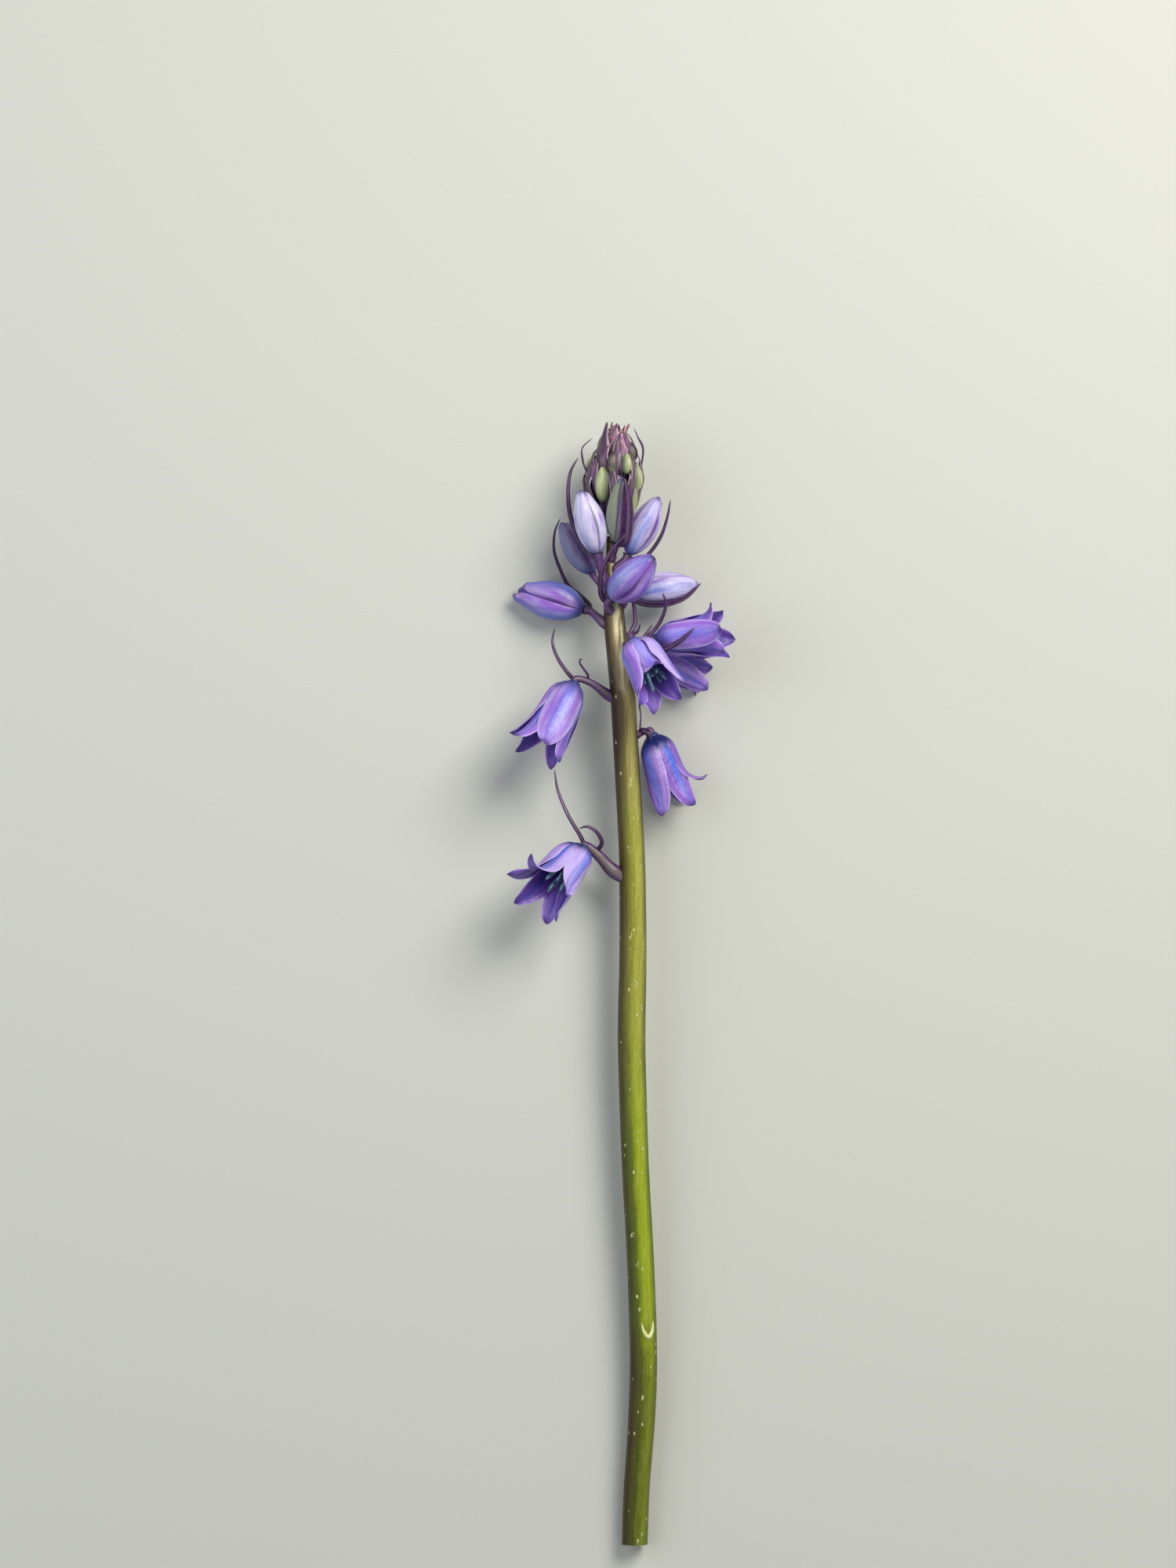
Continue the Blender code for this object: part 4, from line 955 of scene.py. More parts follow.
# %% [markdown]
# ## Stalks and bracts
# Each flower hangs on a short fleshy stalk that swells where it leaves the stem and again
# under the flower.  Its bracts are slender leaves, folded along the middle and drawn out to a
# fine tip.
# %% The rules for a stalk and a bract
BRACT_THICKNESS = 0.2
BRACT_SLIMMING = 0.72           # a slender bract against its solid, which has to be stout
BELL_REACH = DOME_RADIUS + GAP  # how far under a bell's or a bud's base its stalk ends
BUD_REACH = 0.28
COLLAR = 0.28                   # the swelling where a stalk leaves the stem, as a share
COLLAR_PLACE = 0.22             # and its place and width as shares of the stalk
COLLAR_WIDTH = 0.12
HEAD = 0.6                      # the swelling under the flower
DUSKY = 0.35                    # how bright a stalk is, and how much olive and painted highlight it has on top, if nothing else is said
OLIVE_AND_HIGHLIGHT = 0.15


def slender(t):
    """A narrow leaf's width at share t of its length: drawn out to a fine point."""
    return (0.55 + 0.45 * smooth_step(t / 0.12)) * (1 - t) ** 0.5 * (1 + 0.3 * t)


def boat(t):
    """A wide leaf's width: fullest in its middle, then a soft point."""
    return sin(pi * (0.12 + 0.76 * t)) ** 0.8 * sqrt(1 - t ** 5)


def bract(name, points, half_width, facing, finish, look, fold=0.3, form=slender, wave=0.1):
    """A thin leaf along points, its back to the way that facing gives."""
    line = smooth_path(points, 30)
    phase = chance.uniform(0, 2 * pi)

    def place(q, t):
        centre, way, right, over = on_line(line, t, facing)
        width = half_width * form(t)
        lift = wave * q * sin(8 * t + phase) * sin(pi * t) - fold * width * abs(q) ** 1.4
        return centre + right * q * width + over * lift

    return skin(name, (8, 28), place, [finish], look, BRACT_THICKNESS)


def stalk(name, path, radii, base, tip, reach, bracts, tone=DUSKY, olive_and_highlight=OLIVE_AND_HIGHLIGHT, collar=COLLAR,
          neck=1.1):
    """The stalk from inside the stem to just under the flower, with its bracts.  It runs along
    the flower's axis over its last neck millimetres."""
    axis = cross_frame(base, tip)[0]
    end = Vector(base) - axis * reach
    centre = [Vector(p) for p in path] + [end - axis * neck, end + axis * (reach - 0.05)]
    sizes = list(radii) + [radii[-1]]
    line = smooth_path(centre, 41)

    def radius(t):
        swelling = collar * exp(-((t - COLLAR_PLACE) / COLLAR_WIDTH) ** 2)
        return between(sizes, t) * (1 + swelling + HEAD * t ** 7)

    pieces = [rod(name, centre, radius, (14, 30), stalk_purple, (tone, olive_and_highlight, 0.0, 1))]
    for leaf in bracts:
        foot = line[round(leaf["foot"] * (len(line) - 1))]
        points = [foot] + [Vector(p) for p in leaf["points"]]
        width = leaf["half_width"] * (1.0 if "form" in leaf else BRACT_SLIMMING)
        look = (leaf.get("tone", 0.5), leaf.get("light", 0.2), 0.0, 1)
        pieces.append(bract(name, points, width, leaf.get("facing", (0, 0, 1)), bract_purple,
                            look, form=leaf.get("form", slender)))
    join(name + "_twig", pieces, name + "_stalk")


print("a slender bract half way:", round(slender(0.5), 2), "of its width")

# %% [markdown]
# The six open flowers, from the lowest up, in mm and degrees.  path and radii are the stalk's,
# base and mouth the two ends of the bell's axis.  turns are the places of the petals round that
# axis, flares their roll at the tip, lengths and widths their shares of the full size, and rolls
# and crease how strongly their margins and midribs are bent.  look says how bright, blue and
# pale the flower is, tone how bright its stalk is and the olive share how much olive and painted
# highlight lie on its upper side, and reach and neck how far under the base the stalk ends and
# how long it runs straight.
# %% The open flowers
FLOWERS = {
    "flower_1": dict(
        path=[(2.3, 20.6, 8.5), (-1.6, 23.2, 9.4), (-4.5, 26.3, 10.2)], radii=(0.95, 1.2, 1.15, 0.8),
        base=(-7.7, 27.6, 11.6), mouth=(-16.1, 17.6, 21.0), width=0.95, look=(0.6, 0.85, 0.6),
        olive_and_highlight=0.75, neck=0.1, reach=1.1,
        turns=(30, 108, 150, 210, 270, 310), flares=(30, 26, 50, 40, 58, 128),
        lengths=(0.91, 0.98, 0.96, 1.04, 1.05, 1.02), rolls=(-1.6, 1, 1, 1.3, -1, 1),
        bracts=[dict(foot=0.82, points=[(-8.2, 30.3, 11.6), (-10.8, 34.7, 11.8),
                                       (-12.8, 39.6, 10.6), (-13.5, 44.0, 8.8)],
                     half_width=0.62, light=0.6),
                dict(foot=0.55, points=[(-3.8, 28.9, 12.4), (-4.8, 31.0, 13.4),
                                        (-6.7, 32.2, 13.9), (-8.5, 31.8, 13.6)],
                     half_width=0.62)]),
    "flower_2": dict(
        path=[(1.4, 49.9, 9.2), (3.4, 50.9, 8.5), (4.8, 51.5, 7.7)], radii=(0.85, 0.65, 0.55, 0.6),
        base=(6.5, 50.7, 6.8), mouth=(10.9, 37.9, 6.2), width=0.93, look=(0.38, 1.0, 0.3),
        crease=2.0, tone=0.0, neck=0.1, reach=1.2,
        turns=(-37, 34, 90, 155, 216, 270), flares=(18, 34, 108, 30, 20, 10),
        lengths=(0.94, 0.95, 0.80, 0.92, 0.90, 0.86),
        bracts=[dict(foot=0.35, points=[(4.2, 54.4, 7.4), (4.0, 56.6, 7.6), (3.8, 58.8, 8.2)],
                     half_width=0.6, facing=(1, 0, 0.4)),
                dict(foot=0.3, points=[(4.4, 51.7, 9.0), (5.7, 51.2, 9.4), (6.2, 50.0, 9.4)],
                     half_width=0.7, form=boat, tone=0.1)]),
    "flower_3": dict(
        path=[(0.4, 57.0, 9.6), (-2.9, 59.3, 10.2), (-6.0, 61.5, 10.8)], radii=(0.85, 0.9, 0.75, 0.65),
        base=(-9.5, 61.2, 12.0), mouth=(-16.4, 48.0, 17.4), width=1.02, look=(0.6, 0.6, 0.45),
        olive_and_highlight=0.5, neck=0.2, reach=1.2,
        turns=(2, 68, 142, 220, 258, 303), flares=(24, 12, 16, 30, 44, 52),
        lengths=(0.98, 1.0, 1.0, 1.02, 0.93, 1.07), widths=(1.18, 1, 1, 1, 1, 1),
        bracts=[dict(foot=0.88, points=[(-10.9, 63.7, 12.6), (-12.8, 66.5, 11.8),
                                       (-13.9, 69.8, 10.6), (-13.3, 73.0, 9.8)], half_width=0.6),
                dict(foot=0.55, points=[(-6.7, 63.1, 12.2), (-7.5, 64.3, 12.8), (-8.3, 65.5, 13.2),
                                        (-8.2, 66.3, 13.3), (-7.7, 66.1, 13.0)], half_width=0.38)]),
    "flower_4": dict(
        path=[(0.6, 68.8, 10.8), (1.6, 69.7, 12.8), (2.0, 70.4, 14.8)], radii=(0.7, 0.6, 0.55, 0.6),
        base=(2.7, 69.7, 18.2), mouth=(8.3, 59.1, 27.2), width=1.0, look=(0.7, 0.4, 0.6),
        tone=0.1, neck=0.6,
        turns=(-56, 16, 78, 150, 210, 262), flares=(22, 86, 8, 26, 40, 30),
        lengths=(0.89, 0.80, 0.97, 0.90, 0.87, 0.84),
        bracts=[dict(foot=0.72, points=[(2.9, 73.6, 15.4), (2.8, 76.6, 13.8), (2.2, 79.0, 12.8),
                                       (1.8, 80.8, 12.6)], half_width=0.66),
                dict(foot=0.78, points=[(3.3, 71.8, 17.0), (4.0, 73.4, 17.6)], half_width=0.55)]),
    "flower_5": dict(
        path=[(-0.4, 66.8, 10.4), (2.6, 68.6, 11.6), (4.0, 69.6, 13.0)], radii=(0.85, 0.8, 0.75, 0.75),
        base=(7.4, 70.3, 14.4), mouth=(22.4, 71.9, 16.0), width=1.0, look=(0.6, 0.3, 0.4),
        turns=(8, 64, 136, 196, 240, 308), flares=(56, 92, 44, 14, 26, 46),
        lengths=(0.86, 0.81, 0.83, 0.91, 0.84, 0.84),
        bracts=[dict(foot=0.8, points=[(7.8, 73.5, 13.8), (9.2, 77.2, 15.6), (8.5, 79.8, 16.6)],
                     half_width=0.6),
                dict(foot=0.9, points=[(6.2, 68.2, 17.4), (8.9, 68.2, 19.6), (12.0, 69.9, 20.3),
                                       (15.0, 72.6, 20.3)], half_width=1.0, tone=0.3)]),
    "flower_6": dict(
        path=[(-0.3, 65.0, 9.8), (2.2, 66.6, 8.9), (3.6, 67.8, 8.4)], radii=(0.85, 0.8, 0.75, 0.75),
        base=(6.2, 68.0, 6.9), mouth=(16.6, 62.9, 5.5), width=0.92, look=(0.55, 0.4, 0.45),
        turns=(-25, 35, 95, 150, 210, 280), flares=(26, 30, 36, 36, 22, 20),
        lengths=(0.79, 0.74, 0.78, 0.76, 0.78, 0.72),
        bracts=[dict(foot=0.7, points=[(4.9, 71.0, 6.4), (6.6, 73.6, 5.2)], half_width=0.6)]),
}
for name, f in FLOWERS.items():
    flower(name, f)
    stalk(name, f["path"], f["radii"], f["base"], f["mouth"], f.get("reach", BELL_REACH),
          f["bracts"], f.get("tone", DUSKY), f.get("olive_and_highlight", OLIVE_AND_HIGHLIGHT), neck=f.get("neck", 1.1))

# %% [markdown]
# ## A closed bud
# A large bud is three outer petals that still lap over each other, each a long boat with one
# margin tucked under its neighbour, round the three hidden inner ones.  A dark core stands for
# those in the grooves and at the tip.
# %% The rule for a bud
LOBE_SIZE = 0.80                # a petal's own radius, against the bud's
LOBE_OFFSET = 0.27              # and how far from the axis its middle stands
LOBE_FULLNESS = 0.52
LOBE_PEAK = 0.88                # below 1, the bud is thickest a little below its middle
LOBE_WRAP = 88                  # degrees that a petal reaches to each side
LOBE_STEPS = (0, 0.016, 0.032)  # each petal ends this share lower than the whole bud
TUCK = 0.45                     # how far the covered margin goes under, in mm
VEIN = 0.07                     # depth of the fine groove along a petal's middle
CORE_SHARE = 0.84               # the core's radius, against the bud's
CORE_END = 0.96
BUD_WALL = 0.4


def bud(name, b):
    """The three outer petals of a closed bud round its core."""
    axis, up, right = cross_frame(b["base"], b["tip"])
    origin = Vector(b["base"])
    length = (Vector(b["tip"]) - origin).length
    radius = b["radius"]

    def fullness(t):
        return radius * sin(pi * t ** LOBE_PEAK) ** LOBE_FULLNESS

    pieces = [rod(name, [origin + axis * 0.4, origin + axis * length * 0.5,
                         origin + axis * length * CORE_END],
                  lambda t: CORE_SHARE * fullness(t), (24, 20), petal_inside,
                  (0.2, 0.3, 0.0, 0.0), lobes=3, depth=0.04)]
    for k in range(3):
        angle = radians(b["turn"] + 120 * k)
        outward = up * cos(angle) + right * sin(angle)
        aside = up * sin(angle) - right * cos(angle)
        tone, blue, pale, green = b["look"]

        def place(q, t):
            s = 0.45 * t + 0.55 * (0.5 - 0.5 * cos(pi * t))
            s = 0.008 + 0.99 * s
            size = LOBE_SIZE * fullness(s)
            stand = radius * LOBE_OFFSET * sin(pi * min(1.0, s * 1.15)) + b["spread"] * s ** 5
            stand *= 1 - b.get("closing", 0.8) * smooth_step((s - 0.94) / 0.05)
            size -= TUCK * smooth_step((q - 0.45) / 0.55) * min(1.0, size)
            size -= VEIN * exp(-(q / 0.1) ** 2)
            psi = radians(LOBE_WRAP) * q
            return (origin + axis * length * s * (1 - b.get("steps", LOBE_STEPS)[k])
                    + outward * (stand + size * cos(psi)) + aside * size * sin(psi))

        look = (tone + chance.uniform(-0.08, 0.08), blue, pale, green)
        pieces.append(skin(name, (20, 34), place, [bud_outside, petal_inside], look, BUD_WALL))
    join(name + "_petals", pieces, name)


print("a bud is thickest at", round(0.5 ** (1 / LOBE_PEAK), 2), "of its length")

# %% [markdown]
# The seven large buds, from the lowest up, in mm and degrees.  path and radii are the stalk's,
# base and tip the two ends of the bud's axis, and radius says how thick it is.  spread is how
# far its petals' tips stand apart, closing what share of that the very ends take back, turn the
# place of its first petal, steps by what share of the length each petal ends lower, and look
# how bright, blue, pale and green it is.
# %% The large buds
BUDS = {
    "bud_1": dict(
        path=[(-1.2, 71.9, 10.2), (-3.6, 74.0, 9.4), (-5.4, 75.6, 7.4)], radii=(0.85, 0.9, 0.8, 0.75),
        base=(-7.4, 76.6, 5.7), tip=(-21.6, 80.7, 2.4), radius=3.62, spread=1.5, turn=60, closing=0.2,
        steps=(0, 0.03, 0.10), look=(0.45, 0.7, 0.42, 0.0),
        bracts=[dict(foot=0.66, points=[(-6.5, 77.8, 4.8), (-8.6, 79.8, 2.8),
                                        (-10.7, 81.6, 2.0), (-12.2, 84.6, 2.3), (-13.6, 88.6, 3.6),
                                        (-13.4, 92.6, 5.4), (-12.2, 95.4, 7.4)],
                     half_width=0.62)]),
    "bud_2": dict(
        path=[(-1.5, 75.8, 10.6), (-2.5, 76.6, 12.6)], radii=(0.85, 0.85, 0.75),
        base=(-1.8, 78.7, 14.8), tip=(6.8, 86.9, 21.6), radius=3.7, spread=0.5, turn=28,
        look=(0.45, 0.45, 0.45, 0.0), collar=0.3,
        bracts=[dict(foot=0.6, points=[(-4.0, 79.4, 15.2), (-4.0, 83.6, 17.2),
                                       (-2.1, 88.0, 18.6), (1.3, 91.8, 19.2)],
                     half_width=0.75, tone=0.35)]),
    "bud_3": dict(
        path=[(-1.4, 76.8, 10.2), (0.6, 78.0, 10.0)], radii=(0.8, 0.85, 0.8),
        base=(2.9, 79.8, 9.2), tip=(15.9, 81.7, 7.4), radius=3.3, spread=0.5, turn=0,
        look=(0.54, 0.5, 0.85, 0.0), collar=0.6,
        bracts=[dict(foot=0.6, points=[(4.2, 77.6, 9.8), (8.8, 77.3, 10.4),
                                       (13.0, 78.7, 9.6), (16.6, 82.0, 9.4)],
                     half_width=0.85, form=boat, tone=0.7, facing=(0, -0.7, 0.7))]),
    "bud_4": dict(
        path=[(-1.6, 78.4, 10.3), (-3.2, 80.8, 9.6)], radii=(0.8, 0.8, 0.62),
        base=(-5.8, 84.0, 8.8), tip=(-12.0, 94.4, 8.0), radius=2.9, spread=0.5, turn=40,
        look=(0.15, 0.5, 0.25, 0.35), bracts=[]),
    "bud_5": dict(
        path=[(-1.8, 79.8, 10.6), (-3.2, 82.4, 12.2), (-4.0, 84.8, 13.4)], radii=(0.8, 0.85, 0.9, 0.85),
        base=(-4.8, 88.0, 14.6), tip=(-8.1, 100.7, 17.4), radius=3.05, spread=0.5, turn=30,
        look=(0.58, 0.3, 1.0, 0.0),
        bracts=[dict(foot=0.66, points=[(-7.4, 89.4, 12.6), (-10.0, 94.6, 12.8),
                                        (-10.7, 99.8, 13.4), (-10.2, 104.4, 13.2),
                                        (-8.6, 107.4, 12.8)], half_width=0.75)]),
    "bud_6": dict(
        path=[(-1.9, 83.6, 10.5), (-0.4, 85.4, 11.4)], radii=(0.7, 0.8, 0.75),
        base=(1.6, 87.8, 12.3), tip=(7.9, 99.3, 13.6), radius=2.85, spread=0.5, turn=0,
        look=(0.56, 0.55, 0.8, 0.0),
        bracts=[dict(foot=0.6, points=[(4.4, 86.6, 10.8), (7.8, 90.6, 10.8),
                                       (9.4, 94.8, 11.8), (10.2, 99.0, 12.8)], half_width=0.62)]),
    "bud_7": dict(
        path=[(-1.9, 86.0, 10.7), (-1.6, 87.6, 11.8)], radii=(0.7, 0.75, 0.7),
        base=(-1.0, 90.2, 14.2), tip=(0.2, 102.8, 20.6), radius=2.2, spread=0.5, turn=60,
        look=(0.45, 0.1, 0.1, 0.9),
        bracts=[dict(foot=0.7, points=[(0.9, 90.0, 16.4), (1.5, 94.6, 19.2),
                                       (1.4, 99.2, 21.6), (0.8, 102.8, 22.9)], half_width=1.4,
                     form=boat, tone=0.6, facing=(0.5, -0.3, 1))]),
}
for name, b in BUDS.items():
    bud(name, b)
    stalk(name, b["path"], b["radii"], b["base"], b["tip"], BUD_REACH, b["bracts"], tone=0.3,
          collar=b.get("collar", COLLAR))

# %% [markdown]
# ## The cone of young buds
# At the tip, unopened green buds crowd round the end of the stem, the next always a golden
# angle further round, each with its thin purple bract.  The ones on the upper side are placed
# one by one, and the rest follow the golden angle wherever there is room.
# %% Where the young buds stand
CONE_FOOT = (-1.9, 91.75, 10.65)
CONE_AXIS = ((-1.5, 96.0, 10.8), (-0.8, 113.0, 11.4))
CONE_RADIUS = 5.0
CONE_BOTTOM = -4.0              # the waist's height, and its radius
CONE_WAIST = 1.4
CONE_WIDENING = 0.75            # radius gained for each mm above the waist
CONE_SHOULDER = 3.0             # from here the cone draws in, and ends this much higher
CONE_TAPER = 14.5
BUD_MIDDLE = 0.5
CORE_HEIGHT = 15.0
FRONT_BUDS = [  # turn, height and radius of the foot, height and radius of the tip, half width
    (-32, 2.3, 3.9, 9.6, 4.7, 1.85), (66, 4.2, 4.3, 10.6, 4.5, 1.55),
    (-84, 6.4, 4.4, 11.8, 4.2, 1.50), (-6, 8.2, 4.2, 12.8, 3.8, 1.50),
    (32, 8.2, 4.2, 12.6, 3.8, 1.35), (-92, -3.4, 1.2, 7.2, 6.0, 1.70),
    (62, -3.6, 1.2, 7.0, 4.9, 1.75), (100, -1.5, 1.6, 6.6, 5.0, 1.60),
    (-46, 11.0, 3.3, 15.2, 2.4, 1.20), (16, 12.2, 2.8, 16.4, 1.6, 1.15),
    (72, 10.8, 3.2, 15.0, 2.4, 1.15),
]
YOUNG_BUDS = 40
GOLDEN_ANGLE = 137.5
LOWEST_TRY = -2.0
TRY_SPAN = 16.0
BUD_ROOM = (3.8, 4.4)           # round the cone and along it
YOUNG_LENGTH = 7.6              # of a young bud at height 0, and what it loses for each mm
YOUNG_LOSS = 0.25
YOUNG_SLIMNESS = 0.11           # half width gained for each mm of length


def cone_place(turn, height, radius):
    """A point at a height along the cone's axis, at a turn from the side facing up."""
    foot = Vector(CONE_AXIS[0])
    axis = (Vector(CONE_AXIS[1]) - foot).normalized()
    up = (Vector((0, 0, 1)) - axis * axis.z).normalized()
    angle = radians(turn)
    return foot + axis * height + (up * cos(angle) + axis.cross(up) * sin(angle)) * radius


def cone_shell(height):
    """Radius of the ring on which the young buds stand, at a height along the axis."""
    low = CONE_WAIST + CONE_WIDENING * (height - CONE_BOTTOM)
    over = max(0.0, height - CONE_SHOULDER) / CONE_TAPER
    return min(low, CONE_RADIUS * sqrt(max(0.04, 1 - over ** 2)) - BUD_MIDDLE)


young_buds = list(FRONT_BUDS)
for k in range(YOUNG_BUDS):
    turn = (FRONT_BUDS[0][0] + GOLDEN_ANGLE * (k + 1)) % 360
    height = LOWEST_TRY + TRY_SPAN * k / YOUNG_BUDS
    length = YOUNG_LENGTH - YOUNG_LOSS * height
    foot_radius = cone_shell(height)
    crowded = False
    for other in young_buds:
        apart = abs((turn - other[0] + 180) % 360 - 180) * max(2.0, foot_radius) * radians(1)
        if apart < BUD_ROOM[0] and abs(height - other[1]) < BUD_ROOM[1]:
            crowded = True
    if not crowded:
        young_buds.append((turn, height, foot_radius, height + length,
                           cone_shell(height + length * 0.75), 0.75 + YOUNG_SLIMNESS * length))
print("young buds:", len(young_buds))

# %% [markdown]
# A young bud is a blunt pod of three lobes, green with a bloom on its back that is partly painted
# highlight, and turns purple near the tip.  Its bract is a wide thin boat that stands beside it
# and ends in a soft point.
# %% The cone's buds
CORE_SHAPE = [0.9, 1.3, 2.6, 3.4, 3.6, 3.7, 3.4, 2.9, 2.3, 1.6, 0.7]
BRACT_OVER = 2.2                # a young bud's bract ends this far past it
POD_FULLNESS = 0.94
POD_BOW = 0.2
PURPLE = [0.05, 0.1, 0.3, 0.55, 0.0, 0.7, 0.2, 0.5, 0.6, 0.5, 0.6]  # of the buds listed one by one


def cone_out(turn):
    """The way out of the cone at a turn."""
    return cone_place(turn, 0, 1) - cone_place(0, 0, 0)


def young_bud(foot, tip, half_width, tone, purple):
    """A blunt pod of three lobes from its foot to its tip, each a turn, height and radius."""
    start = cone_place(*foot)
    end = cone_place(*tip)
    out = cone_out(foot[0])
    return rod("young_bud", [start, start.lerp(end, 0.5) + out * POD_BOW, end],
               lambda t: half_width * POD_FULLNESS * sin(pi * t ** 0.82) ** 0.5, (30, 24),
               young_green, (tone, 0.9 - purple, purple, 1), facing=out, lobes=3, depth=0.12)


def cone_bract(places, half_width, finish, look, form=boat, wave=0.45):
    """A bract of the cone through places of turn, height and radius."""
    middle = places[len(places) // 2]
    return bract("young_bract", [cone_place(*place) for place in places], half_width,
                 cone_out(middle[0]), finish, look, form=form, fold=0.45, wave=wave)


pieces = [rod("cone_core", [CONE_FOOT, cone_place(0, 5.0, 0), cone_place(0, CORE_HEIGHT, 0)],
              lambda t: between(CORE_SHAPE, t), (24, 24), stalk_purple, (0.1, 0.0, 0.0, 1))]
for i, (turn, foot, foot_radius, tip, tip_radius, half_width) in enumerate(young_buds):
    purple = PURPLE[i] if i < len(PURPLE) else chance.uniform(0.1, 0.6)
    tone = 0.52 + chance.uniform(-0.12, 0.15)
    pieces.append(young_bud((turn, foot, foot_radius), (turn, tip, tip_radius), half_width,
                            tone, purple))
    side = turn - degrees(half_width / max(2.6, tip_radius))
    waist = foot + (tip - foot) * 0.4
    bulge = (foot_radius + tip_radius) / 2 + 0.9
    dark = 0.5 + chance.uniform(-0.25, 0.25)
    pieces.append(cone_bract([(turn - 8, foot - 0.4, foot_radius * 0.8), (side, waist, bulge),
                              (side, tip, tip_radius + 0.7),
                              (turn - 14, tip + BRACT_OVER, tip_radius * 0.72)],
                             0.55 + 0.16 * half_width, young_bract, (dark, 0.25, 0.1, 1)))
    side = turn + degrees(half_width * 0.9 / max(2.6, tip_radius))
    pieces.append(cone_bract([(turn + 6, foot - 0.4, foot_radius * 0.8),
                              (side, waist, bulge - 0.7), (side, tip - 0.5, tip_radius + 0.1),
                              (turn + 10, tip + 0.9, tip_radius * 0.72)],
                             0.35 + 0.16 * half_width, young_bract, (dark - 0.1, 0.2, 0.3, 1)))
print("young buds with two bracts each:", len(young_buds))

# %% [markdown]
# The upper side of the real cone is half hidden under wide purple bracts, and its very tip is
# a tuft of pink ones with fine ends, round the youngest buds of all.  These are placed one by
# one, as (turn, height, radius), each with its half width and how bright it is.
# %% The cone's wide and pink bracts
WIDE_BRACTS = [
    ([(-46, 8.5, 4.4), (-46, 12.0, 4.7), (-54, 15.5, 3.6), (-60, 18.7, 2.4)], 1.7, 0.15),
    ([(2, 6.8, 4.9), (0, 10.5, 5.2), (8, 14.5, 3.9), (16, 16.6, 2.6)], 0.85, 0.35),
    ([(66, 2.8, 5.2), (70, 7.0, 6.1), (74, 10.0, 5.6), (76, 12.4, 4.6)], 1.0, 0.35),
    ([(-70, 1.5, 4.2), (-66, 5.5, 5.9), (-66, 9.0, 5.7), (-72, 12.0, 4.6)], 0.95, 0.4),
    ([(-4, 1.0, 4.0), (-2, 4.5, 5.3), (-6, 8.0, 5.2), (-10, 10.5, 4.6)], 0.7, 0.3),
    ([(36, 10.5, 4.2), (40, 13.0, 4.4), (36, 15.0, 3.6), (30, 17.0, 2.6)], 0.8, 0.5),
]
PINK_BRACTS = [
    ([(20, 12.0, 3.6), (26, 14.6, 3.3), (52, 16.6, 2.4), (75, 18.6, 2.7)], 0.9, 0.5),
    ([(-10, 12.5, 3.2), (-12, 15.0, 3.0), (-20, 17.0, 2.0), (-10, 18.2, 1.2)], 1.1, 0.4),
    ([(24, 11.0, 4.1), (28, 13.6, 4.0), (26, 15.6, 3.0), (30, 17.2, 1.8)], 1.1, 0.85),
    ([(120, 11.0, 3.2), (118, 14.0, 3.0), (110, 16.5, 2.0), (100, 18.2, 1.6)], 0.9, 0.5),
    ([(180, 11.5, 3.2), (178, 14.2, 3.0), (170, 16.6, 2.0), (160, 18.3, 1.2)], 0.9, 0.4),
    ([(240, 11.0, 3.3), (238, 14.0, 3.1), (230, 16.3, 2.1), (215, 17.8, 1.2)], 0.9, 0.5),
]
INNER_BUDS = [  # as FRONT_BUDS, and then how purple
    (0, 11.6, 0.4, 15.9, 0.5, 1.0, 0.7), (118, 11.0, 1.7, 15.6, 1.5, 1.15, 0.4),
    (180, 11.4, 1.8, 16.2, 1.3, 1.15, 0.2), (244, 11.0, 1.7, 15.8, 1.5, 1.15, 0.5),
]
THIN_BRACTS = [
    ([(80, 8.5, 5.3), (84, 13.4, 5.7), (80, 16.0, 4.4), (76, 17.6, 3.6)], 0.5, 0.5),
    ([(-80, 7.5, 5.6), (-82, 10.5, 6.8), (-84, 13.2, 6.9), (-78, 15.2, 5.0)], 0.45, 0.4),
]
for places, half_width, tone in WIDE_BRACTS:
    pieces.append(cone_bract(places, half_width, young_bract, (tone, 0.2, 0.3, 1)))
for places, half_width, tone in PINK_BRACTS:
    pieces.append(cone_bract(places, half_width, bract_pink, (tone, 0.3, 0.1, 1)))
for places, half_width, tone in THIN_BRACTS:
    pieces.append(cone_bract(places, half_width, bract_purple, (tone, 0.2, 0.0, 1), form=slender,
                             wave=0.1))
for turn, foot, foot_radius, tip, tip_radius, half_width, purple in INNER_BUDS:
    pieces.append(young_bud((turn, foot, foot_radius), (turn, tip, tip_radius), half_width,
                            0.4, purple))
join("young_buds", pieces, "bud_cone")

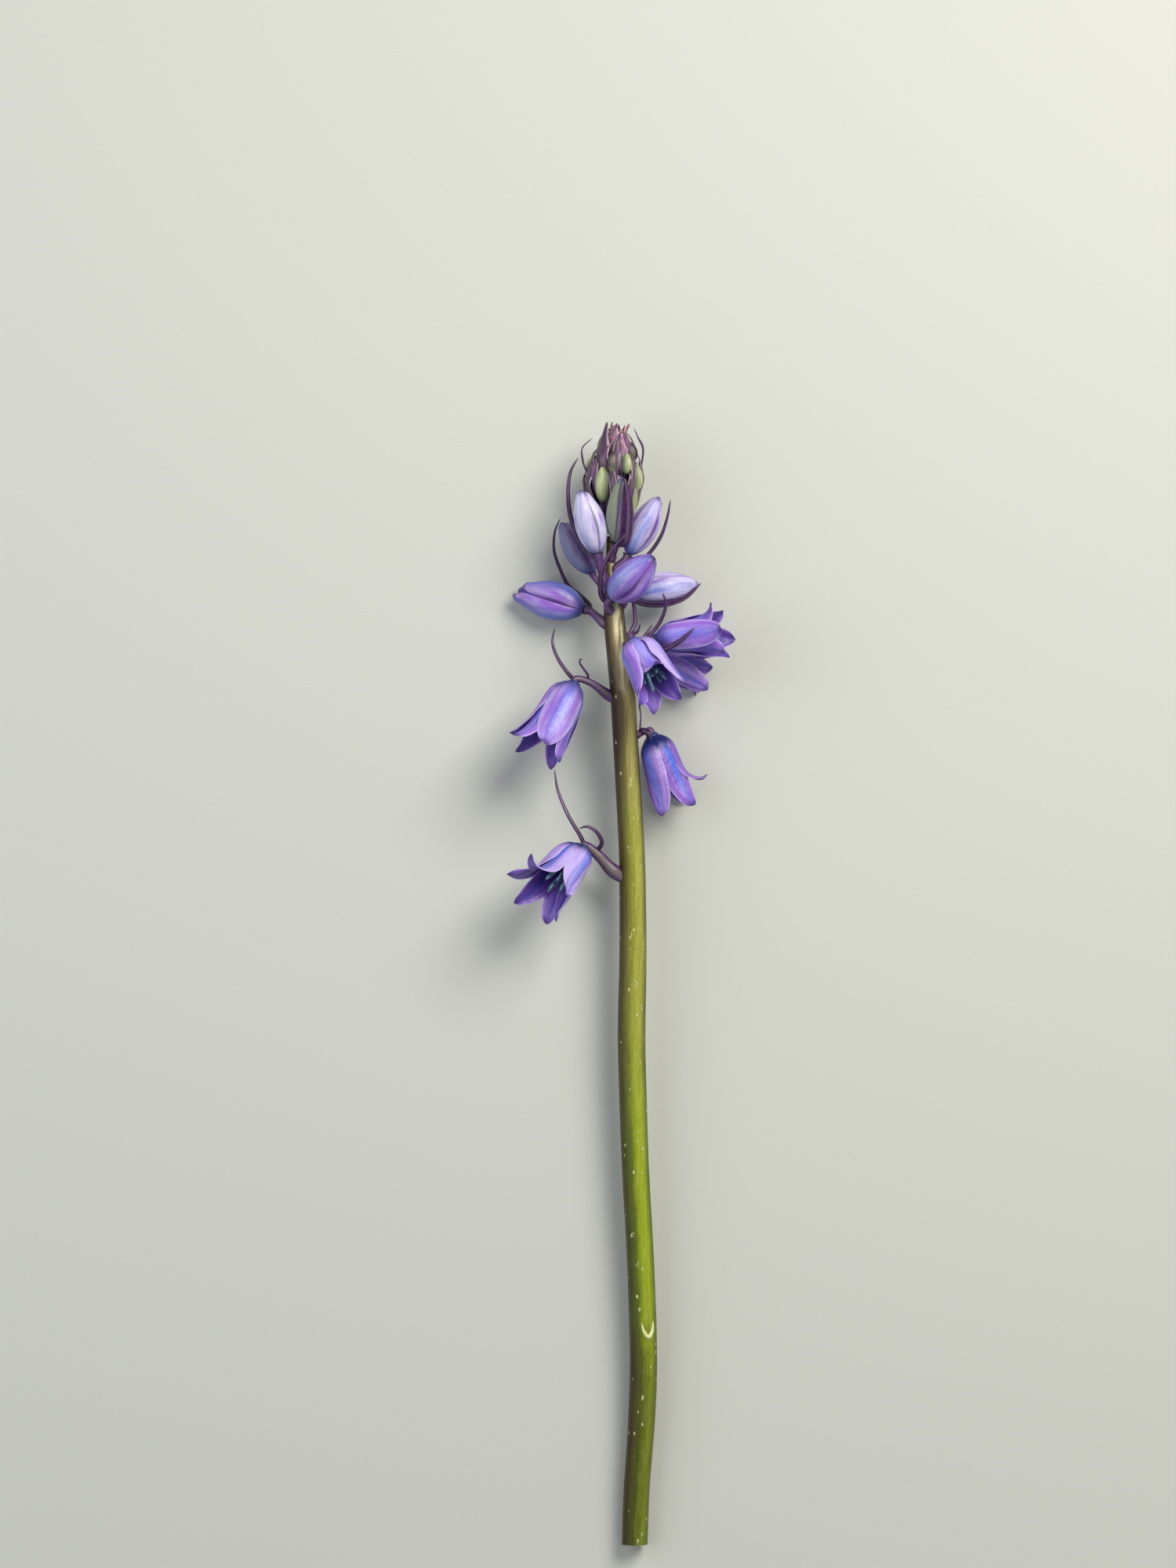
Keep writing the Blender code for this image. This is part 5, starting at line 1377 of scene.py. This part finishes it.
# %% [markdown]
# ## The studio
# The stem lies on a plain pale floor.  A large soft light hangs over its upper right and a
# weaker one over its left, and the world fills the shadows.  The camera hangs straight above
# and looks down through a long lens, which keeps the near petals as large as the far ones.
# %% Floor, lights and camera
FLOOR_SIZE = 5.0                # metres, as the lights' sizes and places are
LIT_PLACE = Vector((0, 0.03, 0.01))
bpy.ops.object.select_all(action="DESELECT")
bpy.ops.mesh.primitive_plane_add(size=FLOOR_SIZE, location=(0, 0, 0))
floor = bpy.context.object
floor.name = "floor"
# uncoated paper scatters the light evenly, so the plant's shadows stay soft
paper = bpy.data.materials.new("pale studio paper")
paper.use_nodes = True
paper.node_tree.nodes["Principled BSDF"].inputs["Base Color"].default_value = linear("c6c9c1")
paper.node_tree.nodes["Principled BSDF"].inputs["Roughness"].default_value = 0.9
floor.data.materials.append(paper)


def soft_light(name, place, size, power, colour):
    """A square light of the given size that shines on the plant."""
    bpy.ops.object.light_add(type="AREA", location=place)
    lamp = bpy.context.object
    lamp.name = name
    lamp.data.size = size
    lamp.data.energy = power
    lamp.data.color = linear(colour)[:3]
    aim = LIT_PLACE - Vector(place)
    lamp.rotation_euler = aim.to_track_quat("-Z", "Y").to_euler()


soft_light("key light", (0.36, 0.44, 0.58), 0.42, 6.6, "fffaf2")
soft_light("fill light", (-0.50, 0.10, 0.50), 0.6, 1.9, "f2f6ff")
world = bpy.context.scene.world or bpy.data.worlds.new("studio")
bpy.context.scene.world = world
world.use_nodes = True
world.node_tree.nodes["Background"].inputs["Color"].default_value = linear("f4f6fa")
world.node_tree.nodes["Background"].inputs["Strength"].default_value = 0.3
bpy.context.scene.view_settings.view_transform = "Standard"

FOCUS = Vector((-6.64, 40.88, 10.0)) * MM     # the middle of the photograph's frame
VIEW_HEIGHT = 0.32                          # metres of the focus plane from top to bottom
LENS = 180.0
SENSOR = 36.0
bpy.ops.object.camera_add(location=FOCUS + Vector((0, 0, VIEW_HEIGHT * LENS / SENSOR)),
                          rotation=(0, 0, 0))
camera = bpy.context.object
camera.data.lens = LENS
camera.data.sensor_width = SENSOR
camera.data.clip_start = 0.01
camera.data.clip_end = 10
bpy.context.scene.camera = camera
print("camera height:", round(camera.location.z, 3), "m")
